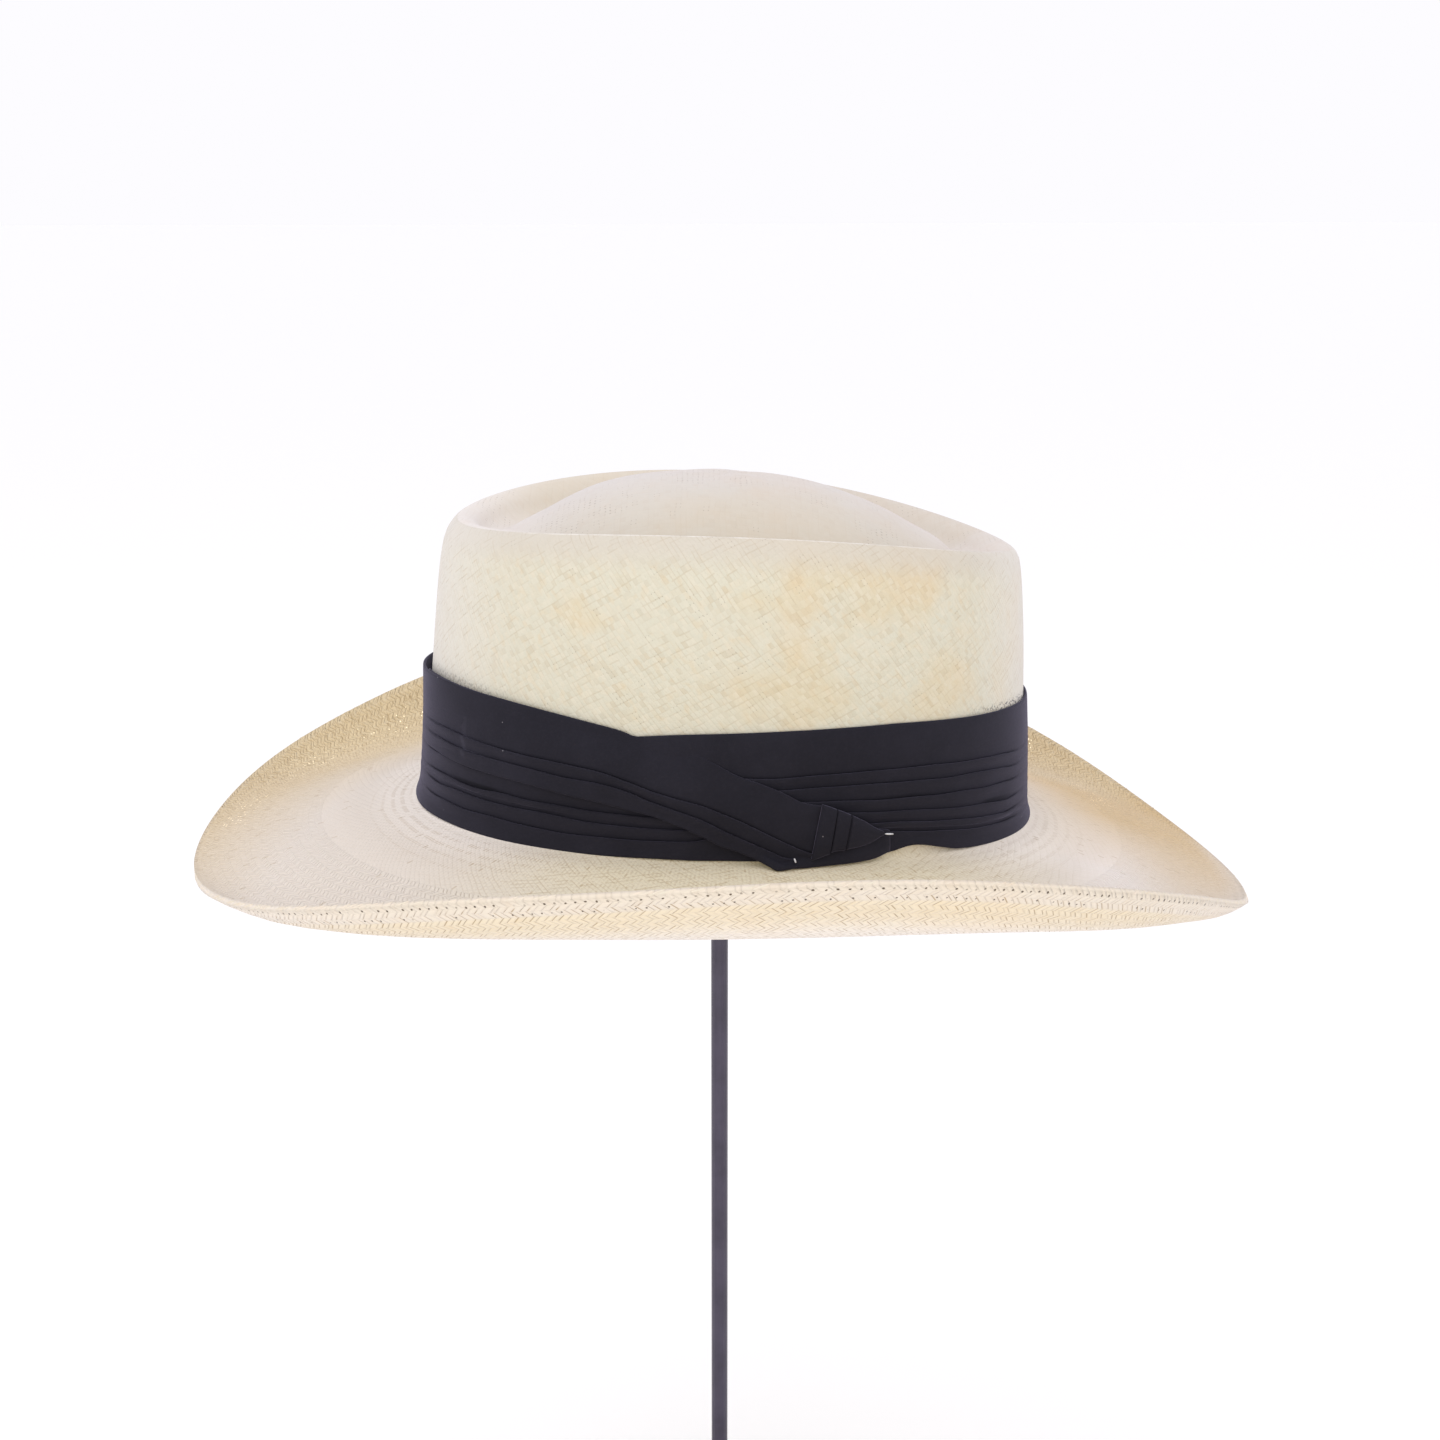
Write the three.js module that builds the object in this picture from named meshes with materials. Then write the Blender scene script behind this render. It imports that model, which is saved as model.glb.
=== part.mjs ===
import * as THREE from 'three';

// A gambler hat of woven straw with a pleated cloth hatband, on a plain display post.
// Millimetres and degrees. The hat's front points to -X and its left side to -Y.
// Angles run round the hat from the back, over the right side, to the front and the left.

// Straw
const STRAW_WALL = 1.4;
const HEM_WALL = 1.9;
const HEM_RINGS = 2;
const STRAW_AROUND = 64;
const FOOT_SADDLE = 2;

// Hatband, with heights above the crown's foot and stand-off from the crown's wall
const BAND_GAP = 0.35;
const BAND_HEIGHT = 42.4;
const BAND_BOTTOM = 1.2;
const BAND_LIFT_OF_INNER_EDGE = 1.1;
const BAND_THIN = 1.1;
const BAND_THICK = 1.7;
const BAND_FLARE_FRONT = 1.5;
const FLARE_POWER = 3;
const PLEAT_HEIGHTS = [28.8, 24.3, 19.5, 14.8, 11, 7];
const PLEAT_STEP = 0.25;
const KNOT_ANGLE = -113.5;
const KNOT_DIP = 4.2;
const KNOT_DIP_TO_FRONT = 27;
const KNOT_DIP_TO_BACK = 38;

// Overlapping cloth of the side join
const SWATH_LIFT = 2.4;
const TAB_LIFT = 4.3;
const TUCK_LIFT = 2.4;

// Stand
const POST_RADIUS = 3;
const BASE_RADIUS = 78;
const BASE_THICKNESS = 8;
const BASE_EDGE_RADIUS = 2;
const REST_RADIUS = 24;
const REST_THICKNESS = 4;
const REST_CROWN = 5;
const REST_TOP = 438.4;
const REST_DOME_SHARES = [0.75, 0.5, 0.25, 0];
const STAND_AROUND = 32;
const POST_AROUND = 16;

// How the hat sits on its post
const HAT_HEIGHT = 330;
const HAT_TO_BACK = 2.2;
const HAT_TILT = 2.9;

// The straw's ovals from the middle of the top to the edge of the brim.
// length and width are half the oval, shift moves it to the back,
// front, back and side are heights above the crown's foot, and sweep says how far
// the ends' height reaches round to the sides, 2 for an even saddle. lean raises
// the oval behind the middle of each side as much as it lowers it before it.
const OVAL_COLUMNS = ['length', 'width', 'shift', 'front', 'back', 'side', 'sweep', 'lean', 'power'];
const DOME_OVALS = [
  [0, 0, -4, 109.9, 109.9, 109.9, 2, 0, 2],
  [14, 10, -4, 109.5, 109.4, 109.4, 2, 0, 2],
  [30, 21.5, -4, 107.7, 106.9, 107.2, 2, 0, 2],
  [44, 32, -4, 104, 102.8, 103.4, 2, 0, 2],
  [54, 39.5, -3.5, 99.6, 98.8, 99.4, 2, 0, 2],
  [63, 46.5, -3, 94.6, 94, 95.2, 2, 0, 2],
  [71, 52.5, -2.7, 90.2, 89.8, 91.4, 2, 0, 2],
];
const GROOVE_OVALS = [
  [76.5, 57, -2.5, 86.8, 85.2, 88.8, 2, 0, 2],
  [80.5, 61, -2.2, 85.6, 83.2, 88.2, 2, 0, 2],
  [84, 65.5, -1.8, 87.6, 84.6, 90.6, 2, 0, 2],
];
const RIM_OVALS = [
  [87, 70, -1, 91.1, 88, 95.4, 2, 0, 2],
  [90.4, 73.3, -0.8, 92.5, 89.4, 98.8, 2, 0, 2],
  [93.1, 75.6, -0.9, 92.1, 89.1, 99.9, 2, 0, 2],
  [95.1, 77.2, -1, 90, 87.4, 99, 2, 0, 2],
  [96.4, 78.3, -1.2, 87.3, 84.6, 96.2, 2, 0, 2],
];
const WALL_OVALS = [
  [97.4, 79.2, -1.3, 83, 80, 90.5, 2, 0, 2],
  [98.5, 80.4, -1.2, 74, 71.5, 78.5, 2, 0, 2],
  [99.7, 81.8, -0.9, 59, 57.5, 62.5, 2, 0, 2],
  [100.6, 82.6, -0.7, 44, 44, 48, 2, 0, 2],
  [102.1, 83.7, -0.3, 22, 22, 26, 2, 0, 2],
  [103.3, 84.6, 0, 2, 2, 6, 2, 0, 2],
  [103.9, 85.2, 0, -0.6, -0.6, 3.4, 2, 0, 2],
];
const BRIM_OVALS = [
  [105.6, 86.7, 0, -2.1, -2.1, 1.9, 2, 0, 2],
  [114.7, 96, 0, -3.6, -3.6, 0.4, 2, 0, 2.01],
  [125, 106.5, 0, -5.7, -5.7, -1.3, 2.2, 0, 2.02],
  [135, 117, 0, -8.2, -8.2, -2.9, 2.6, 0, 2.03],
  [143.7, 126, 0, -10.6, -10.7, -3.6, 3, 0.1, 2.04],
  [151, 133.5, 0, -12.7, -12.9, -2.7, 3.4, 0.3, 2.05],
  [157.5, 140.3, 0, -14.8, -15.1, 0, 3.7, 0.6, 2.06],
  [164, 147, -0.1, -17, -17.5, 4.5, 3.7, 0.8, 2.07],
  [169.8, 153, -0.2, -18.9, -19.5, 10.5, 3.2, 1, 2.08],
  [174.9, 158.4, -0.2, -20.5, -21.3, 17.4, 2.5, 1.1, 2.09],
  [178.5, 162.1, -0.3, -21.5, -22.5, 22.6, 2, 1.2, 2.09],
];
const FOOT_LEVEL = 4;
const BAND_LEVEL = 46;
const FOOT_OVAL = { length: 103.3, width: 84.6, shift: 0 };
const BAND_OVAL = { length: 100.6, width: 82.6, shift: -0.7 };

// The front end of the band turns down over the back end.
// Each row is a cut across this swath: its upper end, then its lower end.
const SWATH_COLUMNS = ['upperAngle', 'upperHeight', 'lowerAngle', 'lowerHeight', 'cover'];
const SWATH_CUTS = [
  [-150, 39, -150, 21.5, 0.25],
  [-145, 41.2, -145, 20, 0.6],
  [-139, 41.6, -140, 19.4, 1],
  [-133, 41.2, -134, 18.6, 1],
  [-127, 40.6, -128, 17.8, 1],
  [-121, 39.8, -122, 16.8, 1],
  [-116, 38.6, -117, 15.4, 1],
  [-112, 37.2, -112, 13.2, 1],
  [-107, 34.4, -107.5, 10.4, 1],
  [-102, 31.6, -103, 7.8, 1],
  [-97, 28.2, -99, 5.6, 1],
  [-91.5, 24.4, -95.5, 3.6, 1],
  [-86, 20.8, -92, 2.2, 1],
  [-81.5, 18, -88.5, 1.6, 1],
];
const SWATH_PLEATS = [0.55, 0.78];

// The folded end of the cloth, a pleated tab that narrows to the back.
const PATCH_COLUMNS = ['angle', 'upper', 'lower', 'lift'];
const TAB_CUTS = [
  [-82.6, 18.6, 3, 0],
  [-80.6, 17.9, 3.1, 0],
  [-78.4, 16.8, 3.3, 0],
  [-75.8, 14.8, 3.7, -0.4],
  [-73, 12.4, 4.4, -0.9],
  [-70.4, 10, 5.6, -1.4],
  [-68.6, 8.4, 6.8, -1.7],
];
const TAB_WALL = 1.3;

// The lip of cloth that is tucked in under the tab.
const TUCK_CUTS = [
  [-86, 3.6, 1.5, 0],
  [-82, 4.2, 1.4, 0],
  [-78, 4.4, 1.4, 0],
  [-74.5, 3.5, 1.5, 0],
  [-71, 4.6, 1.9, 0],
  [-67.5, 5.8, 2.8, 0],
  [-64, 6, 4.2, 0],
];
const TUCK_WALL = 1.3;
const PATCH_SHARES = [0, 0.5, 1];

const straw = new THREE.MeshStandardMaterial({ color: 0xe6dcc3, roughness: 0.75, metalness: 0 });
const cloth = new THREE.MeshStandardMaterial({ color: 0x2d2a32, roughness: 0.9, metalness: 0 });
const paintedSteel = new THREE.MeshStandardMaterial({ color: 0x504552, roughness: 0.5, metalness: 0.4 });

const radians = THREE.MathUtils.degToRad;
const mix = THREE.MathUtils.lerp;

function named(columns, row) {
  return Object.fromEntries(columns.map((column, i) => [column, row[i]]));
}

function solidMesh(name, points, faces, material) {
  const geometry = new THREE.BufferGeometry().setFromPoints(points);
  geometry.setIndex(faces);
  geometry.computeVertexNormals();
  const mesh = new THREE.Mesh(geometry, material);
  mesh.name = name;
  return mesh;
}

function pushQuad(faces, a, b, c, d) {
  faces.push(a, b, c, a, c, d);
}

// Keeps the sign of a sine or cosine while its power fills the oval out.
function fullness(value, power) {
  return Math.sign(value) * Math.abs(value) ** (2 / power);
}

function ovalPoint(oval, angle) {
  const t = radians(angle);
  const ends = (oval.front + oval.back) / 2;
  const tilt = (oval.back - oval.front) / 2;
  const endShare = 1 - Math.abs(Math.sin(t)) ** oval.sweep;
  const lean = oval.lean * (Math.cos(t) - Math.cos(3 * t));
  return new THREE.Vector3(
    oval.length * fullness(Math.cos(t), oval.power) + oval.shift,
    oval.width * fullness(Math.sin(t), oval.power),
    mix(oval.side, ends, endShare) + tilt * Math.cos(t) + lean,
  );
}

// One woven sheet: the outer face follows the ovals and the inner face lies one wall below it.
function makeStraw() {
  const rows = [...DOME_OVALS, ...GROOVE_OVALS, ...RIM_OVALS, ...WALL_OVALS, ...BRIM_OVALS];
  const ovals = rows.map((row) => named(OVAL_COLUMNS, row));
  const outer = [ovalPoint(ovals[0], 0)];
  for (const oval of ovals.slice(1)) {
    for (let j = 0; j < STRAW_AROUND; j += 1) {
      outer.push(ovalPoint(oval, (360 * j) / STRAW_AROUND));
    }
  }
  const at = (ring, j) => (ring === 0 ? 0 : 1 + (ring - 1) * STRAW_AROUND + (j % STRAW_AROUND));
  const lastRing = ovals.length - 1;
  const upper = [];
  for (let j = 0; j < STRAW_AROUND; j += 1) {
    upper.push(at(0, 0), at(1, j), at(1, j + 1));
    for (let ring = 1; ring < lastRing; ring += 1) {
      pushQuad(upper, at(ring, j), at(ring + 1, j), at(ring + 1, j + 1), at(ring, j + 1));
    }
  }
  const normals = solidMesh('', outer, upper, straw).geometry.getAttribute('normal');
  const hemStart = at(lastRing - HEM_RINGS + 1, 0);
  const inner = outer.map((point, i) => {
    const wall = i >= hemStart ? HEM_WALL : STRAW_WALL;
    return new THREE.Vector3().fromBufferAttribute(normals, i).multiplyScalar(-wall).add(point);
  });
  const under = (index) => index + outer.length;
  const faces = [...upper];
  for (let i = 0; i < upper.length; i += 3) {
    faces.push(under(upper[i]), under(upper[i + 2]), under(upper[i + 1]));
  }
  for (let j = 0; j < STRAW_AROUND; j += 1) {
    const here = at(lastRing, j);
    const next = at(lastRing, j + 1);
    pushQuad(faces, here, under(here), under(next), next);
  }
  return solidMesh('straw_body', [...outer, ...inner], faces, straw);
}

// A point beside the crown's wall, at a height above the foot and a stand-off from the straw.
// At the front the cloth leans away from the wall towards its upper edge.
function besideCrown(angle, height, standOff) {
  const t = radians(angle);
  const toFront = Math.max(0, -Math.cos(t)) ** 2;
  const away = standOff + BAND_FLARE_FRONT * toFront * (Math.max(0, height) / BAND_HEIGHT) ** FLARE_POWER;
  const level = (height - FOOT_LEVEL) / (BAND_LEVEL - FOOT_LEVEL);
  const length = mix(FOOT_OVAL.length, BAND_OVAL.length, level) + away;
  const width = mix(FOOT_OVAL.width, BAND_OVAL.width, level) + away;
  const shift = mix(FOOT_OVAL.shift, BAND_OVAL.shift, level);
  const saddle = FOOT_SADDLE * Math.cos(2 * t);
  return new THREE.Vector3(length * Math.cos(t) + shift, width * Math.sin(t), height - saddle);
}

// Joins closed sections, each an outer line downwards and an inner line upwards.
function loft(name, sections, closed, material) {
  const size = sections[0].length;
  const half = size / 2;
  const count = sections.length;
  const faces = [];
  const at = (j, k) => (j % count) * size + (k % size);
  const steps = closed ? count : count - 1;
  for (let j = 0; j < steps; j += 1) {
    for (let k = 0; k < size; k += 1) {
      pushQuad(faces, at(j, k), at(j, k + 1), at(j + 1, k + 1), at(j + 1, k));
    }
  }
  if (!closed) {
    const last = count - 1;
    for (let k = 0; k < half - 1; k += 1) {
      const facing = size - 1 - k;
      pushQuad(faces, at(0, k), at(0, facing), at(0, facing - 1), at(0, k + 1));
      pushQuad(faces, at(last, k), at(last, k + 1), at(last, facing - 1), at(last, facing));
    }
  }
  return solidMesh(name, sections.flat(), faces, material);
}

function bandHeight(angle) {
  const past = angle > 180 ? angle - 360 - KNOT_ANGLE : angle - KNOT_ANGLE;
  const reach = past > 0 ? KNOT_DIP_TO_BACK : KNOT_DIP_TO_FRONT;
  const share = Math.max(0, 1 - Math.abs(past) / reach);
  return BAND_HEIGHT - KNOT_DIP * share ** 2;
}

// A ring of cloth whose pleats lap downwards like shingles.
function makeHatband() {
  const sections = [];
  for (let j = 0; j < STRAW_AROUND; j += 1) {
    const angle = (360 * j) / STRAW_AROUND;
    const top = bandHeight(angle);
    const point = (height, thickness) => besideCrown(angle, height, BAND_GAP + thickness);
    const outer = [point(top, BAND_THIN)];
    for (const height of PLEAT_HEIGHTS) {
      outer.push(point(height, BAND_THICK));
      outer.push(point(height + PLEAT_STEP, BAND_THIN));
    }
    outer.push(point(BAND_BOTTOM, BAND_THICK));
    const inner = [BAND_BOTTOM + BAND_LIFT_OF_INNER_EDGE, BAND_HEIGHT / 2, top];
    sections.push([...outer, ...inner.map((height) => point(height, 0))]);
  }
  return loft('hatband', sections, true, cloth);
}

// The diagonal swath keeps the first pleats of the band, laid over its other end.
function makeSwath() {
  const shares = [0];
  const walls = [BAND_THIN];
  for (const pleat of SWATH_PLEATS) {
    shares.push(pleat, pleat);
    walls.push(BAND_THICK, BAND_THIN);
  }
  shares.push(1);
  walls.push(BAND_THICK);
  const sections = SWATH_CUTS.map((row) => {
    const cut = named(SWATH_COLUMNS, row);
    const point = (share, standOff) => besideCrown(
      mix(cut.upperAngle, cut.lowerAngle, share),
      mix(cut.upperHeight, cut.lowerHeight, share),
      standOff,
    );
    const outer = shares.map((share, i) => point(share, SWATH_LIFT + walls[i] * cut.cover));
    const inner = shares.map((share) => point(share, SWATH_LIFT));
    return [...outer, ...inner.reverse()];
  });
  return loft('band_swath', sections, false, cloth);
}

// A small patch of cloth given by its upper and lower edge at a few angles.
function makePatch(name, cuts, lift, wall) {
  const sections = cuts.map((row) => {
    const cut = named(PATCH_COLUMNS, row);
    const point = (share, standOff) => (
      besideCrown(cut.angle, mix(cut.upper, cut.lower, share), standOff + cut.lift)
    );
    const outer = PATCH_SHARES.map((share) => point(share, lift + wall));
    const inner = PATCH_SHARES.map((share) => point(share, lift));
    return [...outer, ...inner.reverse()];
  });
  return loft(name, sections, false, cloth);
}

function turned(name, profile, around) {
  const geometry = new THREE.LatheGeometry(profile, around);
  geometry.rotateX(Math.PI / 2);
  const mesh = new THREE.Mesh(geometry, paintedSteel);
  mesh.name = name;
  return mesh;
}

function makeBase() {
  const shoulder = BASE_RADIUS - BASE_EDGE_RADIUS;
  const profile = [
    new THREE.Vector2(0, 0),
    new THREE.Vector2(BASE_RADIUS, 0),
    new THREE.Vector2(BASE_RADIUS, BASE_THICKNESS - BASE_EDGE_RADIUS),
    new THREE.Vector2(shoulder, BASE_THICKNESS),
    new THREE.Vector2(0, BASE_THICKNESS),
  ];
  return turned('stand_base', profile, STAND_AROUND);
}

function makePost() {
  const bottom = BASE_THICKNESS;
  const top = REST_TOP - REST_CROWN - REST_THICKNESS;
  const profile = [
    new THREE.Vector2(0, bottom),
    new THREE.Vector2(POST_RADIUS, bottom),
    new THREE.Vector2(POST_RADIUS, top),
    new THREE.Vector2(0, top),
  ];
  return turned('stand_post', profile, POST_AROUND);
}

// A plain disc with a domed top that carries the inside of the crown.
function makeRest() {
  const shoulder = REST_TOP - REST_CROWN;
  const profile = [
    new THREE.Vector2(0, shoulder - REST_THICKNESS),
    new THREE.Vector2(REST_RADIUS, shoulder - REST_THICKNESS),
    new THREE.Vector2(REST_RADIUS, shoulder),
  ];
  for (const share of REST_DOME_SHARES) {
    const height = shoulder + REST_CROWN * (1 - share ** 2);
    profile.push(new THREE.Vector2(REST_RADIUS * share, height));
  }
  return turned('stand_rest', profile, STAND_AROUND);
}

const hat = new THREE.Group();
hat.add(makeStraw());
hat.add(makeHatband());
hat.add(makeSwath());
hat.add(makePatch('band_tab', TAB_CUTS, TAB_LIFT, TAB_WALL));
hat.add(makePatch('band_tuck', TUCK_CUTS, TUCK_LIFT, TUCK_WALL));
hat.position.set(HAT_TO_BACK, 0, HAT_HEIGHT);
hat.rotation.y = radians(HAT_TILT);

const group = new THREE.Group();
group.add(hat);
group.add(makeBase());
group.add(makePost());
group.add(makeRest());

export default group;
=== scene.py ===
import bisect
import math
import random
from functools import lru_cache

import bmesh
import bpy
from mathutils import Matrix, Vector


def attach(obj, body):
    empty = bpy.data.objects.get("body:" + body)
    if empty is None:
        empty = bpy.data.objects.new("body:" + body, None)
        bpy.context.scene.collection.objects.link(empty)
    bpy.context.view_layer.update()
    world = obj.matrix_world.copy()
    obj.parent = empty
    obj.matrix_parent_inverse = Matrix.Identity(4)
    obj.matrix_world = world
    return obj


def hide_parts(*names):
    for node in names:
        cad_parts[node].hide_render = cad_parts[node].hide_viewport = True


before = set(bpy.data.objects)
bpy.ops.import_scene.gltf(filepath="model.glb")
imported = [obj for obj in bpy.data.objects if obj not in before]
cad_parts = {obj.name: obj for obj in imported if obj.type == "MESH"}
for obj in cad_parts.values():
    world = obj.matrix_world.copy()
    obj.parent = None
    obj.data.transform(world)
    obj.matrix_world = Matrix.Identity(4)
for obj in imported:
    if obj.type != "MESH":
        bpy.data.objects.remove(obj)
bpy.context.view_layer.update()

# A gambler hat of woven straw with a pleated cloth hatband, on a plain display post.
# Tables are in millimetres and degrees, in the hat's own frame: its front points to -X,
# its left side to -Y, and angles run round it from the back over the right side.
MM = 0.001
HAT_PLACE = Matrix.Translation((2.2, 0, 330)) @ Matrix.Rotation(math.radians(2.9), 4, "Y")

# Straw. Each row is an oval: half its length and width, how far it is moved to the back,
# its heights at the front, back and sides, how far the ends' height sweeps round,
# how much it leans behind the middle of each side, and how full the oval is. A row without
# the last three is a plain oval.
PLAIN_OVAL = [2, 0, 2]
OVALS = [
    [0, 0, -4, 109.9, 109.9, 109.9],
    [14, 10, -4, 109.5, 109.4, 109.4],
    [30, 21.5, -4, 107.7, 106.9, 107.2],
    [44, 32, -4, 104, 102.8, 103.4],
    [54, 39.5, -3.5, 99.6, 98.8, 99.4],
    [63, 46.5, -3, 94.6, 94, 95.2],
    [71, 52.5, -2.7, 90.2, 89.8, 91.4],
    [76.5, 57, -2.5, 86.8, 85.2, 88.8],
    [80.5, 61, -2.2, 85.6, 83.2, 88.2],
    [84, 65.5, -1.8, 87.6, 84.6, 90.6],
    [87, 70, -1, 91.1, 88, 95.4],
    [90.4, 73.3, -0.8, 92.5, 89.4, 98.8],
    [93.1, 75.6, -0.9, 92.1, 89.1, 99.9],
    [95.1, 77.2, -1, 90, 87.4, 99],
    [96.4, 78.3, -1.2, 87.3, 84.6, 96.2],
    [97.4, 79.2, -1.3, 83, 80, 90.5],
    [98.5, 80.4, -1.2, 74, 71.5, 78.5],
    [99.7, 81.8, -0.9, 59, 57.5, 62.5],
    [100.6, 82.6, -0.7, 44, 44, 48],
    [102.1, 83.7, -0.3, 22, 22, 26],
    [103.3, 84.6, 0, 2, 2, 6],
    [103.9, 85.2, 0, -0.6, -0.6, 3.4],
    [105.6, 86.7, 0, -2.1, -2.1, 1.9],
    [114.7, 96, 0, -3.6, -3.6, 0.4, 2, 0, 2.01],
    [125, 106.5, 0, -5.7, -5.7, -1.3, 2.2, 0, 2.02],
    [135, 117, 0, -8.2, -8.2, -2.9, 2.6, 0, 2.03],
    [143.7, 126, 0, -10.6, -10.7, -3.6, 3, 0.1, 2.04],
    [151, 133.5, 0, -12.7, -12.9, -2.7, 3.4, 0.3, 2.05],
    [157.5, 140.3, 0, -14.8, -15.1, 0, 3.7, 0.6, 2.06],
    [164, 147, -0.1, -17, -17.5, 4.5, 3.7, 0.8, 2.07],
    [169.8, 153, -0.2, -18.9, -19.5, 10.5, 3.2, 1, 2.08],
    [174.9, 158.4, -0.2, -20.5, -21.3, 17.4, 2.5, 1.1, 2.09],
    [178.5, 162.1, -0.3, -21.5, -22.5, 22.6, 2, 1.2, 2.09],
]
CREST_ROW = 12
FOOT_ROW = 21
STRAW_AROUND = 256
STRAW_ROW_STEP = 2.1
STRAW_WALL = 1.4
HEM_WALL = 1.9
HEM_REACH = 9
PINCH_HEIGHT = 0.45
PINCH_WIDTH = 0.9
PINCH_ROWS = [-1.8, -1.2, -0.6, 0.6, 1.2, 1.8]
EDGE_STRANDS = 420
EDGE_STRAND_SIZE = (2.6, 0.3, 0.38)
EDGE_STRAND_TURN = 20

# Hatband. Heights are above the crown's foot, and stand-offs start at the straw.
BAND_AROUND = 360
BAND_GAP = 0.35
BAND_HEIGHT = 42.4
BAND_THIN = 1.05
BAND_THICK = 1.75
# Towards both ends of the hat the pleats are pulled flat: to which stand-off, how much of the
# way, and where. A place is an angle, how far from it they are flat, and how far out not.
BAND_FLAT = 1.35
END_FLATTENING = 0.92
FLAT_ENDS = [(-12, 14, 29), (176, 13, 28)]
BAND_FLARE_FRONT = 1.5
BAND_FLARE_LOW = 0.8
LOW_REACH = 7
FLARE_POWER = 3
FOOT_SADDLE = 2
FOOT_LEVEL = 4
BAND_LEVEL = 46
FOOT_OVAL = (103.3, 84.6, 0)
BAND_OVAL = (100.6, 82.6, -0.7)

# Angle from the join's notch round the back to the notch again, and the upper edge's height
BAND_TOP = [
    [-113.5, 37.7], [-105.5, 39.1], [-95, 40.2], [-85, 41.2], [-74, 42.2], [-65, 42.8],
    [-25, 42.8], [60, 42.5], [150, 43.2], [180, 45], [198.5, 46.2], [210, 45.5], [219, 44.7],
    [226, 43.7], [232.5, 42.4], [238.4, 40.9], [244, 39.2], [246.5, 37.7],
]

# Angle from where the pleats hide under the join round to there again, then heights of the
# six pleats and of the lower edge
PLEATS = [
    [-98, 26.3, 22.5, 19.4, 15.6, 11.8, 8.8, 0.5],
    [-88, 26.7, 22.7, 19.4, 15.6, 11.8, 8.8, 0.6],
    [-80, 27.6, 23.9, 19.4, 15.6, 11.8, 8.8, 1],
    [-72, 28.4, 24.3, 19.2, 15.5, 11.7, 8.8, 1.2],
    [-68, 28.7, 24.4, 19.4, 15.3, 11.6, 8.8, 2.1],
    [-63.5, 28.9, 24.4, 19.5, 15, 11.4, 8.4, 3.7],
    [-60.5, 28.9, 24.4, 19.4, 14.8, 11.1, 7.8, 3.4],
    [-56.5, 28.9, 24.4, 19.2, 14.4, 10.6, 7.2, 2],
    [-52.5, 28.9, 24.4, 19.1, 14, 10.1, 6.7, 0.7],
    [-42, 28.6, 24.2, 18.9, 13.6, 8.9, 5.8, -0.1],
    [-28.5, 27.9, 23.2, 18.6, 13.2, 8.8, 5.4, -0.2],
    [0, 28.4, 23.8, 18.9, 13.9, 9.6, 6, 0],
    [90, 28.6, 24.2, 19.2, 14.2, 10.4, 6.6, 0.4],
    [150, 29.4, 25.2, 20.2, 14.8, 11.2, 6.8, 0.5],
    [192, 30.4, 26.3, 21.2, 15, 11.6, 6.8, 0.2],
    [202, 30.3, 26, 21, 15.3, 11.5, 6.7, 0.2],
    [210, 30, 25.5, 20.6, 15.1, 11.6, 6.5, 0],
    [219, 29.2, 25.4, 20.4, 14.9, 11.2, 6.3, -0.2],
    [227, 28.6, 24.9, 19.9, 14.4, 10.9, 5.9, -0.3],
    [235, 28, 23.8, 18.5, 13.7, 10.4, 5.5, -0.3],
    [242.5, 26.3, 22.5, 17.4, 13.4, 9.7, 5.4, -0.1],
    [251, 26.3, 22.5, 18, 13.2, 9.5, 5.9, 0.3],
    [258, 26.3, 22.5, 19, 13.6, 9.9, 6.5, 0.3],
    [262, 26.3, 22.5, 19.4, 15.6, 11.8, 8.8, 0.5],
]
# For each millimetre by which a fold stands open: how much deeper its floor lies, how far its
# lip stands out, and how far the lip drops
GAPE_DEPTH = 1.2
GAPE_OUT = 0.1
GAPE_DROP = 0.32
# Folds that stand open: angle, pleat, reach in degrees, and by how many millimetres
GAPES = [
    [-148, 4, 10, 2], [-37, 4, 9, 2.6], [-64, 3, 14, 0.5], [-128, 3, 12, 0.5],
    [-158, 5, 8, 0.4], [128, 4, 14, 1], [60, 3, 12, 0.8],
]

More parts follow.
